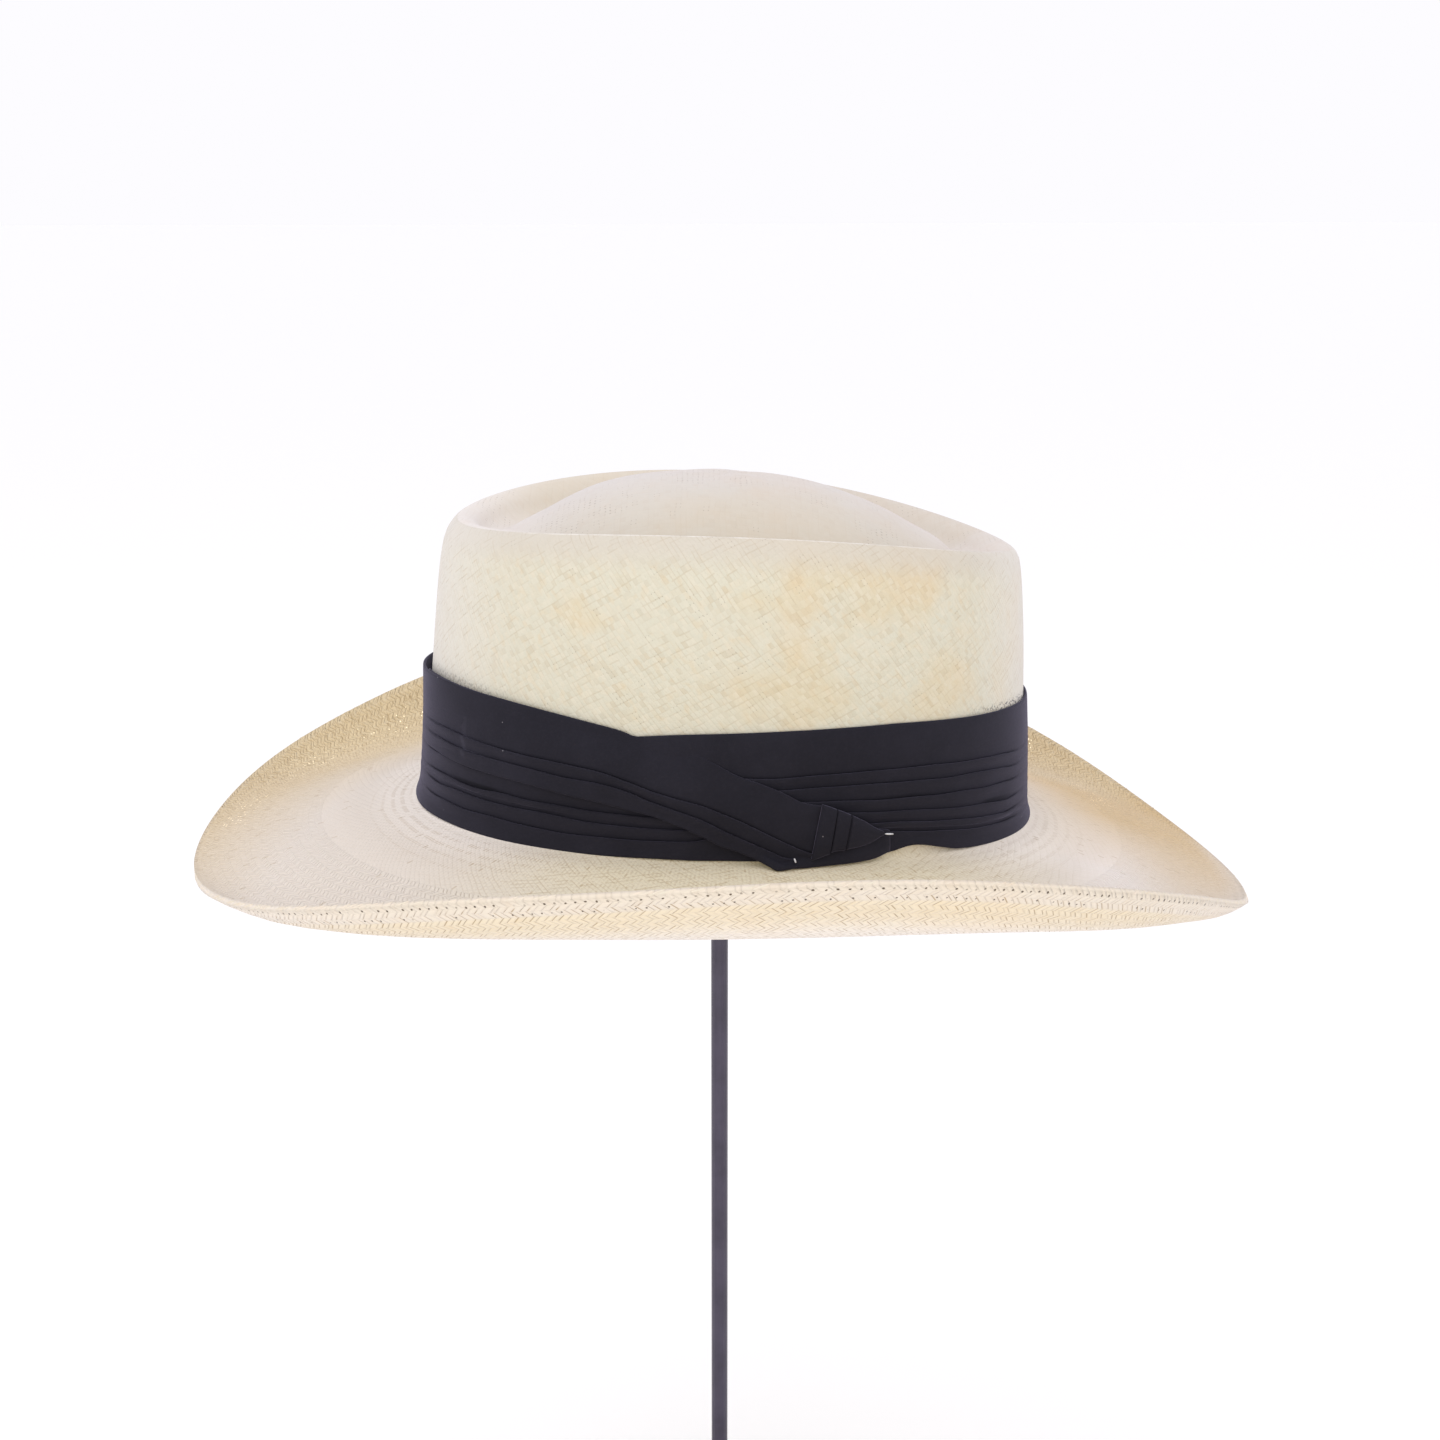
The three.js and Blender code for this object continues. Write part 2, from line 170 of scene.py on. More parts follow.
# The front end of the cloth turns down over the back end. Each row is a cut across it:
# angle and height of its upper edge, of its two folds and of its lower edge, then how far
# the upper edge, the folds and the lower edge stand off.
SWATH_CUTS = [
    [-172, 45.8, -172, 30.3, -172, 26.2, -172, 21.1, -0.7, -0.5, -0.5],
    [-162, 46, -162, 30.4, -162, 26.1, -162, 21, -0.7, -0.4, -0.4],
    [-152, 45.5, -152, 30.1, -152, 25.5, -152, 20.6, -0.6, 0, 0.2],
    [-142, 44.6, -142, 29.4, -142, 25.4, -142, 20.4, -0.4, 0.5, 1],
    [-133, 43.3, -133, 28.6, -133, 24.8, -133, 19.8, -0.3, 1.1, 1.7],
    [-126, 41.8, -126, 28, -125.5, 23.7, -125, 18.4, -0.2, 1.7, 2.2],
    [-119, 40, -119, 26.8, -118.8, 23.1, -118.5, 17.1, -0.1, 2.2, 2.4],
    [-113.6, 37.6, -113.6, 24.4, -113.8, 21.4, -113, 15.5, 0.1, 2.4, 2.4],
    [-110.3, 36.7, -109.8, 22.2, -110, 19, -109.4, 14.2, 0.1, 2.4, 2.4],
    [-107, 35.6, -106, 20.4, -106, 16.8, -105.4, 11.9, 0.2, 2.4, 2.4],
    [-102.9, 33.9, -101.5, 18.5, -101.4, 14.1, -101.3, 8.8, 0.4, 2.4, 2.4],
    [-99.1, 30.4, -98.4, 16.5, -98, 11.2, -97.9, 5.9, 0.7, 2.4, 2.4],
    [-95.4, 27.2, -95, 14, -95.2, 8.9, -94.6, 3.9, 1.1, 2.4, 2.5],
    [-91.8, 25.2, -90.9, 10.4, -92.2, 6.5, -92, 1.8, 1.6, 2.4, 2.8],
    [-88, 22.6, -87.3, 7.2, -89.6, 4.4, -90.2, 0.3, 2, 2.4, 3.8],
    [-84.6, 19.6, -84.6, 5, -87.4, 2.6, -88.8, -0.7, 2.3, 2.5, 5.2],
    [-81, 18.4, -82, 3.4, -84.4, 1.6, -86.6, -0.5, 2.4, 2.4, 4.4],
]
SWATH_STEPS = 160
FOLD_SWELL = 0.5

# The folded end of the cloth, a pleated tab that narrows to the back. Each row is a cut:
# angle and height of its upper edge and of its lower edge, then how far both stand off.
TAB_CUTS = [
    [-81.4, 19.4, -83.1, 1.6, 4.3, 4.3],
    [-80.6, 19, -82.3, 2.1, 4.4, 4.4],
    [-79, 17.9, -80.1, 3.8, 4.4, 4.3],
    [-77.8, 17, -78.9, 4.4, 4.2, 4.1],
    [-76.4, 15.9, -77.4, 4.7, 4, 3.9],
    [-73.7, 13.5, -74.6, 5.3, 3.4, 3.3],
    [-71.6, 11.2, -72.2, 6.3, 2.8, 2.8],
    [-69.9, 9.7, -70.2, 8.1, 2.4, 2.4],
    [-69.4, 9.2, -69.5, 8.8, 2.3, 2.3],
]
# Its upright pleats: at which cut, and how far the lip before each stands out
TAB_PLEATS = [(2, 0.55), (4, 0.5)]
TAB_GROOVE = 0.1
TAB_STEPS = 176

# The lip of cloth that is tucked in under the tab: the same columns
TUCK_CUTS = [
    [-88.7, 0.5, -88.8, -0.6, 3.6, 5.1],
    [-87, 2, -87, -0.6, 3, 4.8],
    [-84, 3.6, -84, -0.5, 2.4, 4.3],
    [-80.5, 5.4, -80.5, -0.2, 1.6, 3.7],
    [-75.5, 7.5, -75.2, 0.2, 1.2, 2.9],
    [-71.4, 9.4, -71.4, 0.8, 1, 2.1],
    [-68.8, 9.6, -69, 1.9, 0.8, 1.3],
    [-67.6, 9, -67.4, 2.6, 0.3, 0.5],
]
TUCK_STEPS = 60
# A patch is thinner at both ends of its length: to which share, and how fast it thickens
PATCH_END = 0.35
PATCH_THICKENING = 12

# White tacking threads that show on the join: angle, height and stand-off of each end
STITCHES = [
    [(-69.9, 9.1, 4.7), (-68, 8.7, 4.2)],
    [(-86, 2.8, 5.6), (-85.7, 1.4, 5.8)],
]
STITCH_RADIUS = 0.28

# Weaves, in millimetres and strands round the hat. The wall's two families of strands
# rise to the right at one slant and to the left at the other.
WALL_ROUND = 574
SHALLOW_SLANT = math.radians(31)
SHALLOW_PITCH = 2
STEEP_SLANT = math.radians(51)
STEEP_PITCH = 1.2
TOP_PITCH = 1.75
TOP_TURN = math.radians(-8)
BRIM_STRANDS = 500
BRIM_ROW_AT_FOOT = 3.5
BRIM_ROW_CLOSING = 0.64
WEAVE_CHANGE = 0.45
SPOKES = 560
GRAIN_ROUND = 2300
FLECKS_ROUND = 700
SPARKLES_ROUND = 760
HEM_RADIUS = 172
HOLES_ROUND = 385
# Rows of holes in the hem: distance from the edge, shift round, size, and how few are missing
HOLE_ROWS = [(0.95, 0, 0.42, 0.35), (3.6, 0.5, 0.34, 0.6)]
# Rings of dashes round the crown's foot, closer together on the far side: distance and width
RING_ROWS = [(5.2, 0.7), (8.4, 1), (11.8, 0.9), (15.4, 0.7), (19.5, 0.5)]

# Threads of the cloth round the hat, and to a metre across the cloth
WARP_THREADS = 1500
WEFT_THREADS = 2200

# Fuzz of the cloth and the band's painted shadow above its upper edge: two angles, towards which end,
# and how dark, then its height in metres
FUZZ_REACH = [(-38, -6, 1, 0.8), (-164, -146, -1, 0.3)]
FUZZ_HEIGHT = 0.0028

# Camera and photograph
CAMERA_PLACE = (-0.09476, -0.66358, 0.53194)
CAMERA_DOWN = 14.81
CAMERA_TURN = -8.14
CAMERA_LENS = 50.45
CAMERA_SENSOR = 36


def mix(low, high, share):
    return low + (high - low) * share


def eased(share):
    share = min(1, max(0, share))
    return share * share * (3 - 2 * share)


def smooth_rows(keys, rows, key):
    """The row at a key between those of a table, on a curve through all of them."""
    last = len(keys) - 1
    i = min(max(bisect.bisect_right(keys, key) - 1, 0), last - 1)
    span = keys[i + 1] - keys[i]
    t = (key - keys[i]) / span

    def slope(k, column):
        before, after = max(k - 1, 0), min(k + 1, last)
        return (rows[after][column] - rows[before][column]) / (keys[after] - keys[before])

    stay, go = 2 * t**3 - 3 * t**2 + 1, 3 * t**2 - 2 * t**3
    leave, arrive = t**3 - 2 * t**2 + t, t**3 - t**2
    return [
        stay * rows[i][c]
        + go * rows[i + 1][c]
        + span * (leave * slope(i, c) + arrive * slope(i + 1, c))
        for c in range(len(rows[i]))
    ]


def row_at(table, key):
    """The rest of a table's row at a key, which its first column holds."""
    return smooth_rows([row[0] for row in table], [row[1:] for row in table], key)


def oval_arcs():
    """How far each oval lies from the middle of the top, along the straw."""
    arcs = [0]
    for a, b in zip(OVALS, OVALS[1:]):
        out = (b[0] + b[1] - a[0] - a[1]) / 2
        up = (b[3] + b[4] - a[3] - a[4]) / 4 + (b[5] - a[5]) / 2
        arcs.append(arcs[-1] + math.hypot(out, up))
    return arcs


OVALS = [row + PLAIN_OVAL[len(row) - 6:] for row in OVALS]
ARCS = oval_arcs()
CREST = ARCS[CREST_ROW]
FOOT = ARCS[FOOT_ROW]
EDGE = ARCS[-1]
MIRRORED = [[-OVALS[1][0], -OVALS[1][1], *OVALS[1][2:]], *OVALS]
MIRRORED_ARCS = [-ARCS[1], *ARCS]


@lru_cache(maxsize=None)
def oval_at(arc):
    return smooth_rows(MIRRORED_ARCS, MIRRORED, arc)


def fullness(value, power):
    return math.copysign(abs(value) ** (2 / power), value)


def unevenness(arc, turn):
    """The slight unevenness of a form that was shaped by hand, in millimetres."""
    brim = max(0, arc - FOOT) / (EDGE - FOOT)
    crown = 1 - brim
    wave = 0.5 * brim**2 * (math.sin(5 * turn + 0.6) + 0.6 * math.sin(9 * turn + 2 + arc / 40))
    return wave + 0.22 * crown * math.sin(4 * turn + arc / 23) * math.sin(arc / 17 + 1)


def straw_point(arc, angle):
    length, width, shift, front, back, side, sweep, lean, power = oval_at(arc)
    turn = math.radians(angle)
    cos, sin = math.cos(turn), math.sin(turn)
    ends, tilt = (front + back) / 2, (back - front) / 2
    height = mix(side, ends, 1 - abs(sin) ** sweep) + tilt * cos
    height += lean * (cos - math.cos(3 * turn)) + unevenness(arc, turn)
    height += PINCH_HEIGHT * math.exp(-(((arc - CREST) / PINCH_WIDTH) ** 2)) * abs(sin) ** 3
    return (length * fullness(cos, power) + shift, width * fullness(sin, power), height)


def in_frame(point):
    return (HAT_PLACE @ Vector(point)) * MM


# Mesh helpers
def spun(across, around, on_axis=False, closed=False):
    """A row of points spun into a grid, each point with its place in the row and its angle."""
    bm = bmesh.new()
    key = bm.verts.layers.float.new("across")
    start = 0 if on_axis else 1
    chain = []
    for i, value in enumerate(across):
        vert = bm.verts.new((start + i, 0, 0))
        vert[key] = value
        chain.append(vert)
    pairs = list(zip(chain, chain[1:]))
    if closed:
        pairs.append((chain[-1], chain[0]))
    edges = [bm.edges.new(pair) for pair in pairs]
    bmesh.ops.spin(
        bm, geom=chain + edges, cent=(0, 0, 0), axis=(0, 0, 1),
        angle=math.tau, steps=around, use_merge=True,
    )
    if on_axis:
        bmesh.ops.remove_doubles(bm, verts=bm.verts, dist=0.0001)
    return bm


def turn_of(co):
    return (math.atan2(co.y, co.x) / math.tau) % 1


def map_spun(bm, v_of):
    """UV of a spun grid: turns round the hat, and v_of a point's place in the row."""
    key = bm.verts.layers.float["across"]
    uv = bm.loops.layers.uv.new("weave")
    for face in bm.faces:
        middle = turn_of(face.calc_center_median())
        for loop in face.loops:
            co = loop.vert.co
            turn = turn_of(co) if co.to_2d().length > 0.5 else middle
            if turn - middle > 0.5:
                turn -= 1
            if middle - turn > 0.5:
                turn += 1
            loop[uv].uv = (turn, v_of(loop.vert[key]))


def as_mesh(bm, name):
    mesh = bpy.data.meshes.new(name)
    bm.to_mesh(mesh)
    bm.free()
    return mesh


def add_object(name, data):
    added = bpy.data.objects.new(name, data)
    bpy.context.scene.collection.objects.link(added)
    return added


def finish_mesh(bm, name, materials, node=None):
    bmesh.ops.recalc_face_normals(bm, faces=bm.faces)
    mesh = as_mesh(bm, name)
    for polygon in mesh.polygons:
        polygon.use_smooth = True
    for material in materials:
        mesh.materials.append(material)
    piece = add_object(name, mesh)
    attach(piece, "root")
    if node:
        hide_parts(node)
    return piece


# Shader helpers
def maths(operation):
    """A method that puts a value through one operation of a math node."""
    return lambda value, *others: value.math(operation, *others)


class Value:
    """A socket of a material's nodes, so that shader maths reads as sums."""

    __add__ = __radd__ = maths("ADD")
    __sub__ = maths("SUBTRACT")
    __mul__ = __rmul__ = maths("MULTIPLY")
    __truediv__ = maths("DIVIDE")
    __mod__ = maths("FLOORED_MODULO")
    __pow__ = maths("POWER")
    __abs__ = maths("ABSOLUTE")
    floor = maths("FLOOR")
    fract = maths("FRACT")
    over = maths("GREATER_THAN")
    under = maths("LESS_THAN")

    def __init__(self, shader, socket):
        self.shader = shader
        self.socket = socket

    def math(self, operation, *others):
        inputs = dict(enumerate([self, *others]))
        return self.shader.node("ShaderNodeMath", {"operation": operation}, inputs)

    def __rsub__(self, other):
        return -self + other

    def __neg__(self):
        return self * -1

    def clamped(self):
        return self.math("MAXIMUM", 0).math("MINIMUM", 1)

    def rise(self, low, high):
        """0 below low and 1 above high, with a smooth step between."""
        settings = {"interpolation_type": "SMOOTHSTEP"}
        inputs = {"Value": self, "From Min": low, "From Max": high}
        return self.shader.node("ShaderNodeMapRange", settings, inputs)

    def fall(self, low, high):
        """1 below low and 0 above high."""
        return 1 - self.rise(low, high)

    def off_centre(self):
        """0 in the middle of each whole step and 1 at its ends."""
        return abs(self.fract() * 2 - 1)


class Shader:
    """A material built node by node, with the place in the object's own frame."""

    def __init__(self, name):
        self.material = bpy.data.materials.new(name)
        self.material.use_nodes = True
        self.tree = self.material.node_tree
        self.tree.nodes.clear()
        self.place = self.node("ShaderNodeTexCoord", None, None, "Object")
        self.xyz = self.split(self.place)

    def node(self, kind, settings=None, inputs=None, output=0):
        made = self.tree.nodes.new(kind)
        for key, value in (settings or {}).items():
            setattr(made, key, value)
        for key, value in (inputs or {}).items():
            socket = made.inputs[key]
            if isinstance(value, Value):
                self.tree.links.new(value.socket, socket)
            elif isinstance(value, tuple) and len(value) == 3 and socket.type == "RGBA":
                socket.default_value = (*value, 1)
            else:
                socket.default_value = value
        return Value(self, made.outputs[output]) if made.outputs else None

    def split(self, vector):
        made = self.tree.nodes.new("ShaderNodeSeparateXYZ")
        self.tree.links.new(vector.socket, made.inputs[0])
        return [Value(self, socket) for socket in made.outputs]

    def join(self, x, y, z=0.0):
        return self.node("ShaderNodeCombineXYZ", None, {0: x, 1: y, 2: z})

    def uv(self):
        return self.node("ShaderNodeUVMap", {"uv_map": "weave"})

    def noise(self, scale, detail, roughness, seed=0.0, at=None):
        inputs = {"Vector": at or self.place, "W": seed, "Scale": scale, "Detail": detail}
        inputs["Roughness"] = roughness
        return self.node("ShaderNodeTexNoise", {"noise_dimensions": "4D"}, inputs)

    def chance(self, x, y, z=0.0):
        """A fixed random number for each whole x, y and z."""
        inputs = {"Vector": self.join(x, y, z)}
        return self.node("ShaderNodeTexWhiteNoise", {"noise_dimensions": "3D"}, inputs)

    def blend(self, share, low, high):
        """A colour between two others."""
        return self.node("ShaderNodeMix", {"data_type": "RGBA"}, {0: share, 6: low, 7: high}, 2)

    def layered(self, colour, *layers):
        """A colour with others laid over it in turn, each by its share."""
        for share, tint in layers:
            colour = self.blend(share, colour, tint)
        return colour

    def choose(self, share, low, high):
        """A number between two others."""
        return self.node("ShaderNodeMix", {"data_type": "FLOAT"}, {0: share, 2: low, 3: high})

    def finish(self, inputs, height=None, depth=0.0):
        """Puts the surface together, with its fine relief if it has one."""
        inputs = dict(inputs)
        if height is not None:
            bump = {"Strength": 1.0, "Distance": depth, "Height": height}
            inputs["Normal"] = self.node("ShaderNodeBump", None, bump)
        surface = self.node("ShaderNodeBsdfPrincipled", None, inputs)
        self.node("ShaderNodeOutputMaterial", None, {"Surface": surface})
        return self.material


def crossing(shader, first, second, firsts, seconds):
    """Two families of flat strands that cross over and under, so many of each round the hat.
    Returns their height, the dark of their gaps, and random numbers for each crossing
    and for each stretch of a strand."""
    here_first, here_second = first.floor() % firsts, second.floor() % seconds
    on_top = ((first.floor() + second.floor()) % 2).under(0.5)
    side = shader.choose(on_top, second.off_centre(), first.off_centre())
    end = shader.choose(on_top, first.off_centre(), second.off_centre())
    height = (1 - side**3) * (1 - 0.7 * end**4)
    cell = shader.chance(here_first, here_second)
    long_first = shader.chance(here_first, (second * 0.2 + first.floor() * 0.37).floor(), 1)
    long_second = shader.chance(here_second, (first * 0.25 + second.floor() * 0.43).floor(), 2)
    stretch = shader.choose(on_top, long_second, long_first)

    # A gap shows dark only along some stretches between two strands
    def seam(across, along, count, seed):
        number = (across + 0.5).floor() % count
        place = (along * 0.37 + number * 0.31).floor()
        return across.off_centre().rise(0.66, 0.98) * shader.chance(number, place, seed).rise(0.45, 1)

    gap = (seam(first, second, firsts, 3) + seam(second, first, seconds, 4)).clamped()
    return height, gap, cell, stretch


# Colours of the straw: its strands' own tints, then those of whole places, many of which paint light and
# shade
CREAM = (0.68, 0.61, 0.445)
GREEN_CREAM = (0.665, 0.65, 0.54)
TAN = (0.705, 0.565, 0.365)
PALE = (0.75, 0.69, 0.555)
BROW_PAINTED_SHADE = (0.62, 0.57, 0.495)
END_PAINTED_SHEEN = (0.755, 0.72, 0.65)
TOP_TAN = (0.59, 0.535, 0.46)
TOP_PAINTED_LILAC_LIGHT = (0.66, 0.615, 0.605)
GROOVE_PAINTED_LIGHT = (0.815, 0.76, 0.735)
FAR_TAN = (0.695, 0.62, 0.535)
CREST_PAINTED_HIGHLIGHT = (0.95, 0.92, 0.87)
BRIM_PAINTED_LILAC_LIGHT = (0.785, 0.70, 0.62)
END_PAINTED_LILAC_LIGHT = (0.91, 0.83, 0.785)
FOOT_PAINTED_LIGHT = (0.98, 0.90, 0.81)
NEAR_SHADE_KHAKI = (0.785, 0.72, 0.535)
ROLL_SHADE_TAN = (0.72, 0.57, 0.345)
FRONT_ROLL_SHADE_TAN = (0.785, 0.635, 0.39)
END_ROLL_SHADE_TAN = (0.68, 0.475, 0.21)
GAP_BROWN = (0.40, 0.27, 0.12)
PIN_BROWN = (0.12, 0.08, 0.04)
HEM_CREAM = (0.82, 0.71, 0.585)
HEM_TAN = (0.86, 0.71, 0.49)
UNDER_PALE = (0.97, 0.87, 0.765)
END_PINK = (0.89, 0.79, 0.69)
SHEEN_LILAC = (0.88, 0.85, 1.0)
SEEN_THROUGH = (0.05, 0.035, 0.006)
SPARKLE = (1.0, 0.9, 0.68)
NO_LIGHT = (0.0, 0.0, 0.0)

# Colours of the cloth, the thread and the paint
BLACK = (0.0136, 0.013, 0.0194)
BLACK_WORN = (0.0228, 0.0218, 0.032)
FOLD_PAINTED_SHADE = (0.002, 0.002, 0.003)
LINT = (0.35, 0.33, 0.36)
CLOTH_SHEEN = (0.64, 0.6, 0.88)
THREAD_GREY = (0.62, 0.62, 0.66)
THREAD_WHITE = (0.9, 0.9, 0.92)
PAINT_DARK = (0.04, 0.033, 0.055)
PAINT_LIGHT = (0.062, 0.052, 0.084)
PAINT_DRAWN = (0.1, 0.09, 0.125)


def crown_tints(s, colour, arc):
    """Painted light and shade on the crown: greyer painted shade round its top, paler painted sheen at
    both ends, painted light in the ends of its groove, a lilac top for the cool light from above, and a
    painted highlight along the near crest.
    """
    x, y, _ = s.xyz
    sides = abs(x)
    on_wall = arc.over(CREST)
    above_brim = arc.under(FOOT - 6)
    # Painted shade below the crest: a grey-lilac tint for the cool light from above, kept darker where
    # the wall turns up towards it.
    brow_shade = (arc - CREST).fall(3, 13) * on_wall
    # Paler painted sheen on both ends of the wall, where the light grazes it.
    ends = sides.rise(0.068, 0.1) * on_wall * above_brim
    # Painted light brightens the shade in the ends of the groove.
    groove = (-x).rise(0.052, 0.08) + x.rise(0.055, 0.085) * y.fall(-0.01, 0.02) * 0.4
    # On the top, a lilac tint paints the cool light from above.
    top = s.layered(
        TOP_TAN,
        (y.rise(-0.05, 0.005), TOP_PAINTED_LILAC_LIGHT), (y.rise(0.005, 0.035) * x.fall(-0.01, 0.05), FAR_TAN),
        (groove * 0.9, GROOVE_PAINTED_LIGHT), (x.rise(0.04, 0.06) * y.rise(0.01, 0.02) * 0.4, TOP_TAN),
    )
    # A painted highlight along the near side of the crest, broken up by noise.
    crest_highlight = abs(arc - CREST - 0.2).fall(0.15, 0.55)
    crest_highlight = crest_highlight * sides.fall(0.05, 0.08) * y.fall(-0.05, -0.03)
    highlight_breaks = s.noise(130, 2, 0.6).rise(0.35, 0.6)
    return s.layered(
        colour,
        (brow_shade * 0.75, BROW_PAINTED_SHADE), (ends * 0.8, END_PAINTED_SHEEN),
        ((1 - on_wall) * 0.7, top), (crest_highlight * (highlight_breaks * 0.42 + 0.12), CREST_PAINTED_HIGHLIGHT),
    )


def brim_share(arc):
    """How far out a place lies: 0 at the crown's foot and 1 at the brim's edge."""
    return (arc - FOOT) * (1 / (EDGE - FOOT))


def brim_tints(s, colour, out):
    """The upper side of the brim, in painted light and shade: lilac flats for the cool light from above,
    pale painted light at the crown's foot, khaki painted shade close to the near side of the crown, and
    tan painted shade where it rolls up on the far side. Also returns the khaki and tan shares."""
    x, y, _ = s.xyz
    sides = abs(x)
    on_brim = out.over(-0.08)
    back = x.rise(-0.02, 0.06)
    # Khaki painted shade, tinted by light bounced off the straw, in the trough beside the near side of
    # the crown.
    near = (-y).rise(0.05, 0.092) * sides.fall(0.04, 0.12) * on_brim
    # Tan painted shade, warmed by light bounced inside the roll, where the brim rolls up on the far
    # side.
    front_roll_shade = out * 1.4 - 0.56 + y.math("MINIMUM", 0.07) * 9.5
    back_roll_shade = (1 + y * (16 - 5 * out.rise(0.4, 0.8))).clamped() * out.rise(-0.15, 0.5)
    back_roll_shade = back_roll_shade * (1 - 0.6 * out.rise(0.86, 1) * y.fall(-0.01, 0.02))
    roll_shade = s.choose(back, front_roll_shade, back_roll_shade).clamped() * on_brim
    # Painted light near the crown's foot at both ends, against the shade that the band casts there.
    foot = out.fall(0.04 + 0.07 * back, 0.3 + 0.08 * back) * sides.rise(0.05, 0.1) * on_brim
    # The roll's painted shade is a darker tan at the back end and a paler one at the front.
    tan = s.blend(back * y.fall(0.035, 0.07), ROLL_SHADE_TAN, END_ROLL_SHADE_TAN)
    tan = s.blend((1 - back) * y.rise(0.055, 0.095), tan, FRONT_ROLL_SHADE_TAN)
    # The brim's lilac is its straw colour with painted cool light from above, paler towards the back
    # end.
    lilac = s.blend(x.rise(0.09, 0.12) * out.fall(0.4, 0.8), BRIM_PAINTED_LILAC_LIGHT, END_PAINTED_LILAC_LIGHT)
    colour = s.layered(
        colour, (on_brim * 0.82, lilac), (foot, FOOT_PAINTED_LIGHT), (near * 0.8, NEAR_SHADE_KHAKI), (roll_shade * 0.92, tan)
    )
    return colour, near, roll_shade


def brim_marks(s, colour, turns, arc, near, roll_shade):
    """Rings of small dark dashes round the crown's foot, strays, and the roll's grain."""
    x, y, _ = s.xyz
    out = brim_share(arc)
    back_end = x.rise(0.07, 0.1)
    spokes = turns * SPOKES
    spoke = spokes.off_centre()
    number = (spokes + 0.5).floor() % SPOKES
    ring = (arc - FOOT) / (0.9 - y * 5) + s.noise(90, 1, 0.5) * 1.4 - 0.7
    rings = 0
    for distance, wide in RING_ROWS:
        off = abs(ring - distance) * (1 / wide)
        rings = off.fall(0.5, 1) * s.chance(number, distance).rise(0, 0.6) * wide + rings
    rings = rings * (0.42 - 0.12 * back_end) * (1 - near * 0.6)
    lines = spoke.rise(0.3, 1) * out.fall(0.3, 0.5) * (0.1 - 0.06 * back_end)
    stray = s.chance(number, (arc * 0.5 + number * 0.3).floor(), 9).over(0.989 - roll_shade * 0.05)
    dashes = (rings + stray * 0.38) * spoke.rise(0.3, 0.75) + lines
    grain = s.noise(1, 2, 0.6, at=s.join(turns * GRAIN_ROUND, arc * 0.5))
    fleck = s.noise(1, 2, 0.6, at=s.join(turns * FLECKS_ROUND, arc * 0.8))
    dark = roll_shade * out.rise(0.3, 0.75) * grain.rise(0.5, 0.64) * 0.5
    return s.layered(
        colour,
        (dashes.clamped() * out.over(0), GAP_BROWN),
        (dark + near * fleck.rise(0.53, 0.66) * 0.34, GAP_BROWN),
        (roll_shade * grain.fall(0.36, 0.46) * 0.3, PALE), (near * fleck.fall(0.36, 0.46) * 0.4, PALE),
    )


def fuzz_and_band_shadow(s):
    """Dark fuzz of the cloth that lies on the straw along the band's upper edge, together with the
    band's painted shadow there, on the near side towards the front and the back."""
    x, y, z = s.xyz
    fuzz = 0
    for low, high, end, dark in FUZZ_REACH:
        line = []
        for angle in (low, high):
            point = in_frame(beside_crown(angle, band_lines(angle)[0], BAND_GAP + BAND_THIN))
            line.append((point.x, point.z))
        (x_low, z_low), (x_high, z_high) = line
        edge = z_low + (x - x_low) * ((z_high - z_low) / (x_high - x_low))
        above = (z - edge).fall(0.0008, FUZZ_HEIGHT)
        fuzz = above * (x * end).rise(0.066, 0.09) * dark + fuzz
    return fuzz * (-y).rise(0, 0.02) * s.noise(1300, 1, 0.5).rise(0.5, 0.6)


def light_through(s, turns, arc, near):
    """Light through the straw close to the crown, and daylight through pin holes of the far
    rolled side."""
    x, y, _ = s.xyz
    out = brim_share(arc)
    columns, lines = turns * SPARKLES_ROUND, arc * 0.8
    lit = s.chance(columns.floor() % SPARKLES_ROUND, lines.floor(), 3)
    spot = columns.off_centre().fall(0.15, 0.5) * lines.off_centre().fall(0.15, 0.5)
    centre = s.choose(x.over(0), 0.86, 0.48 + y * 4.3)
    zone = abs(out - centre).fall(0.03, 0.1) * y.rise(0.0, 0.02)
    sparkle = lit.over(0.87) * spot * zone * s.noise(30, 1, 0.5).rise(0.4, 0.5)
    return s.layered(NO_LIGHT, (near * out.fall(0.15, 0.5), SEEN_THROUGH), (sparkle, SPARKLE))


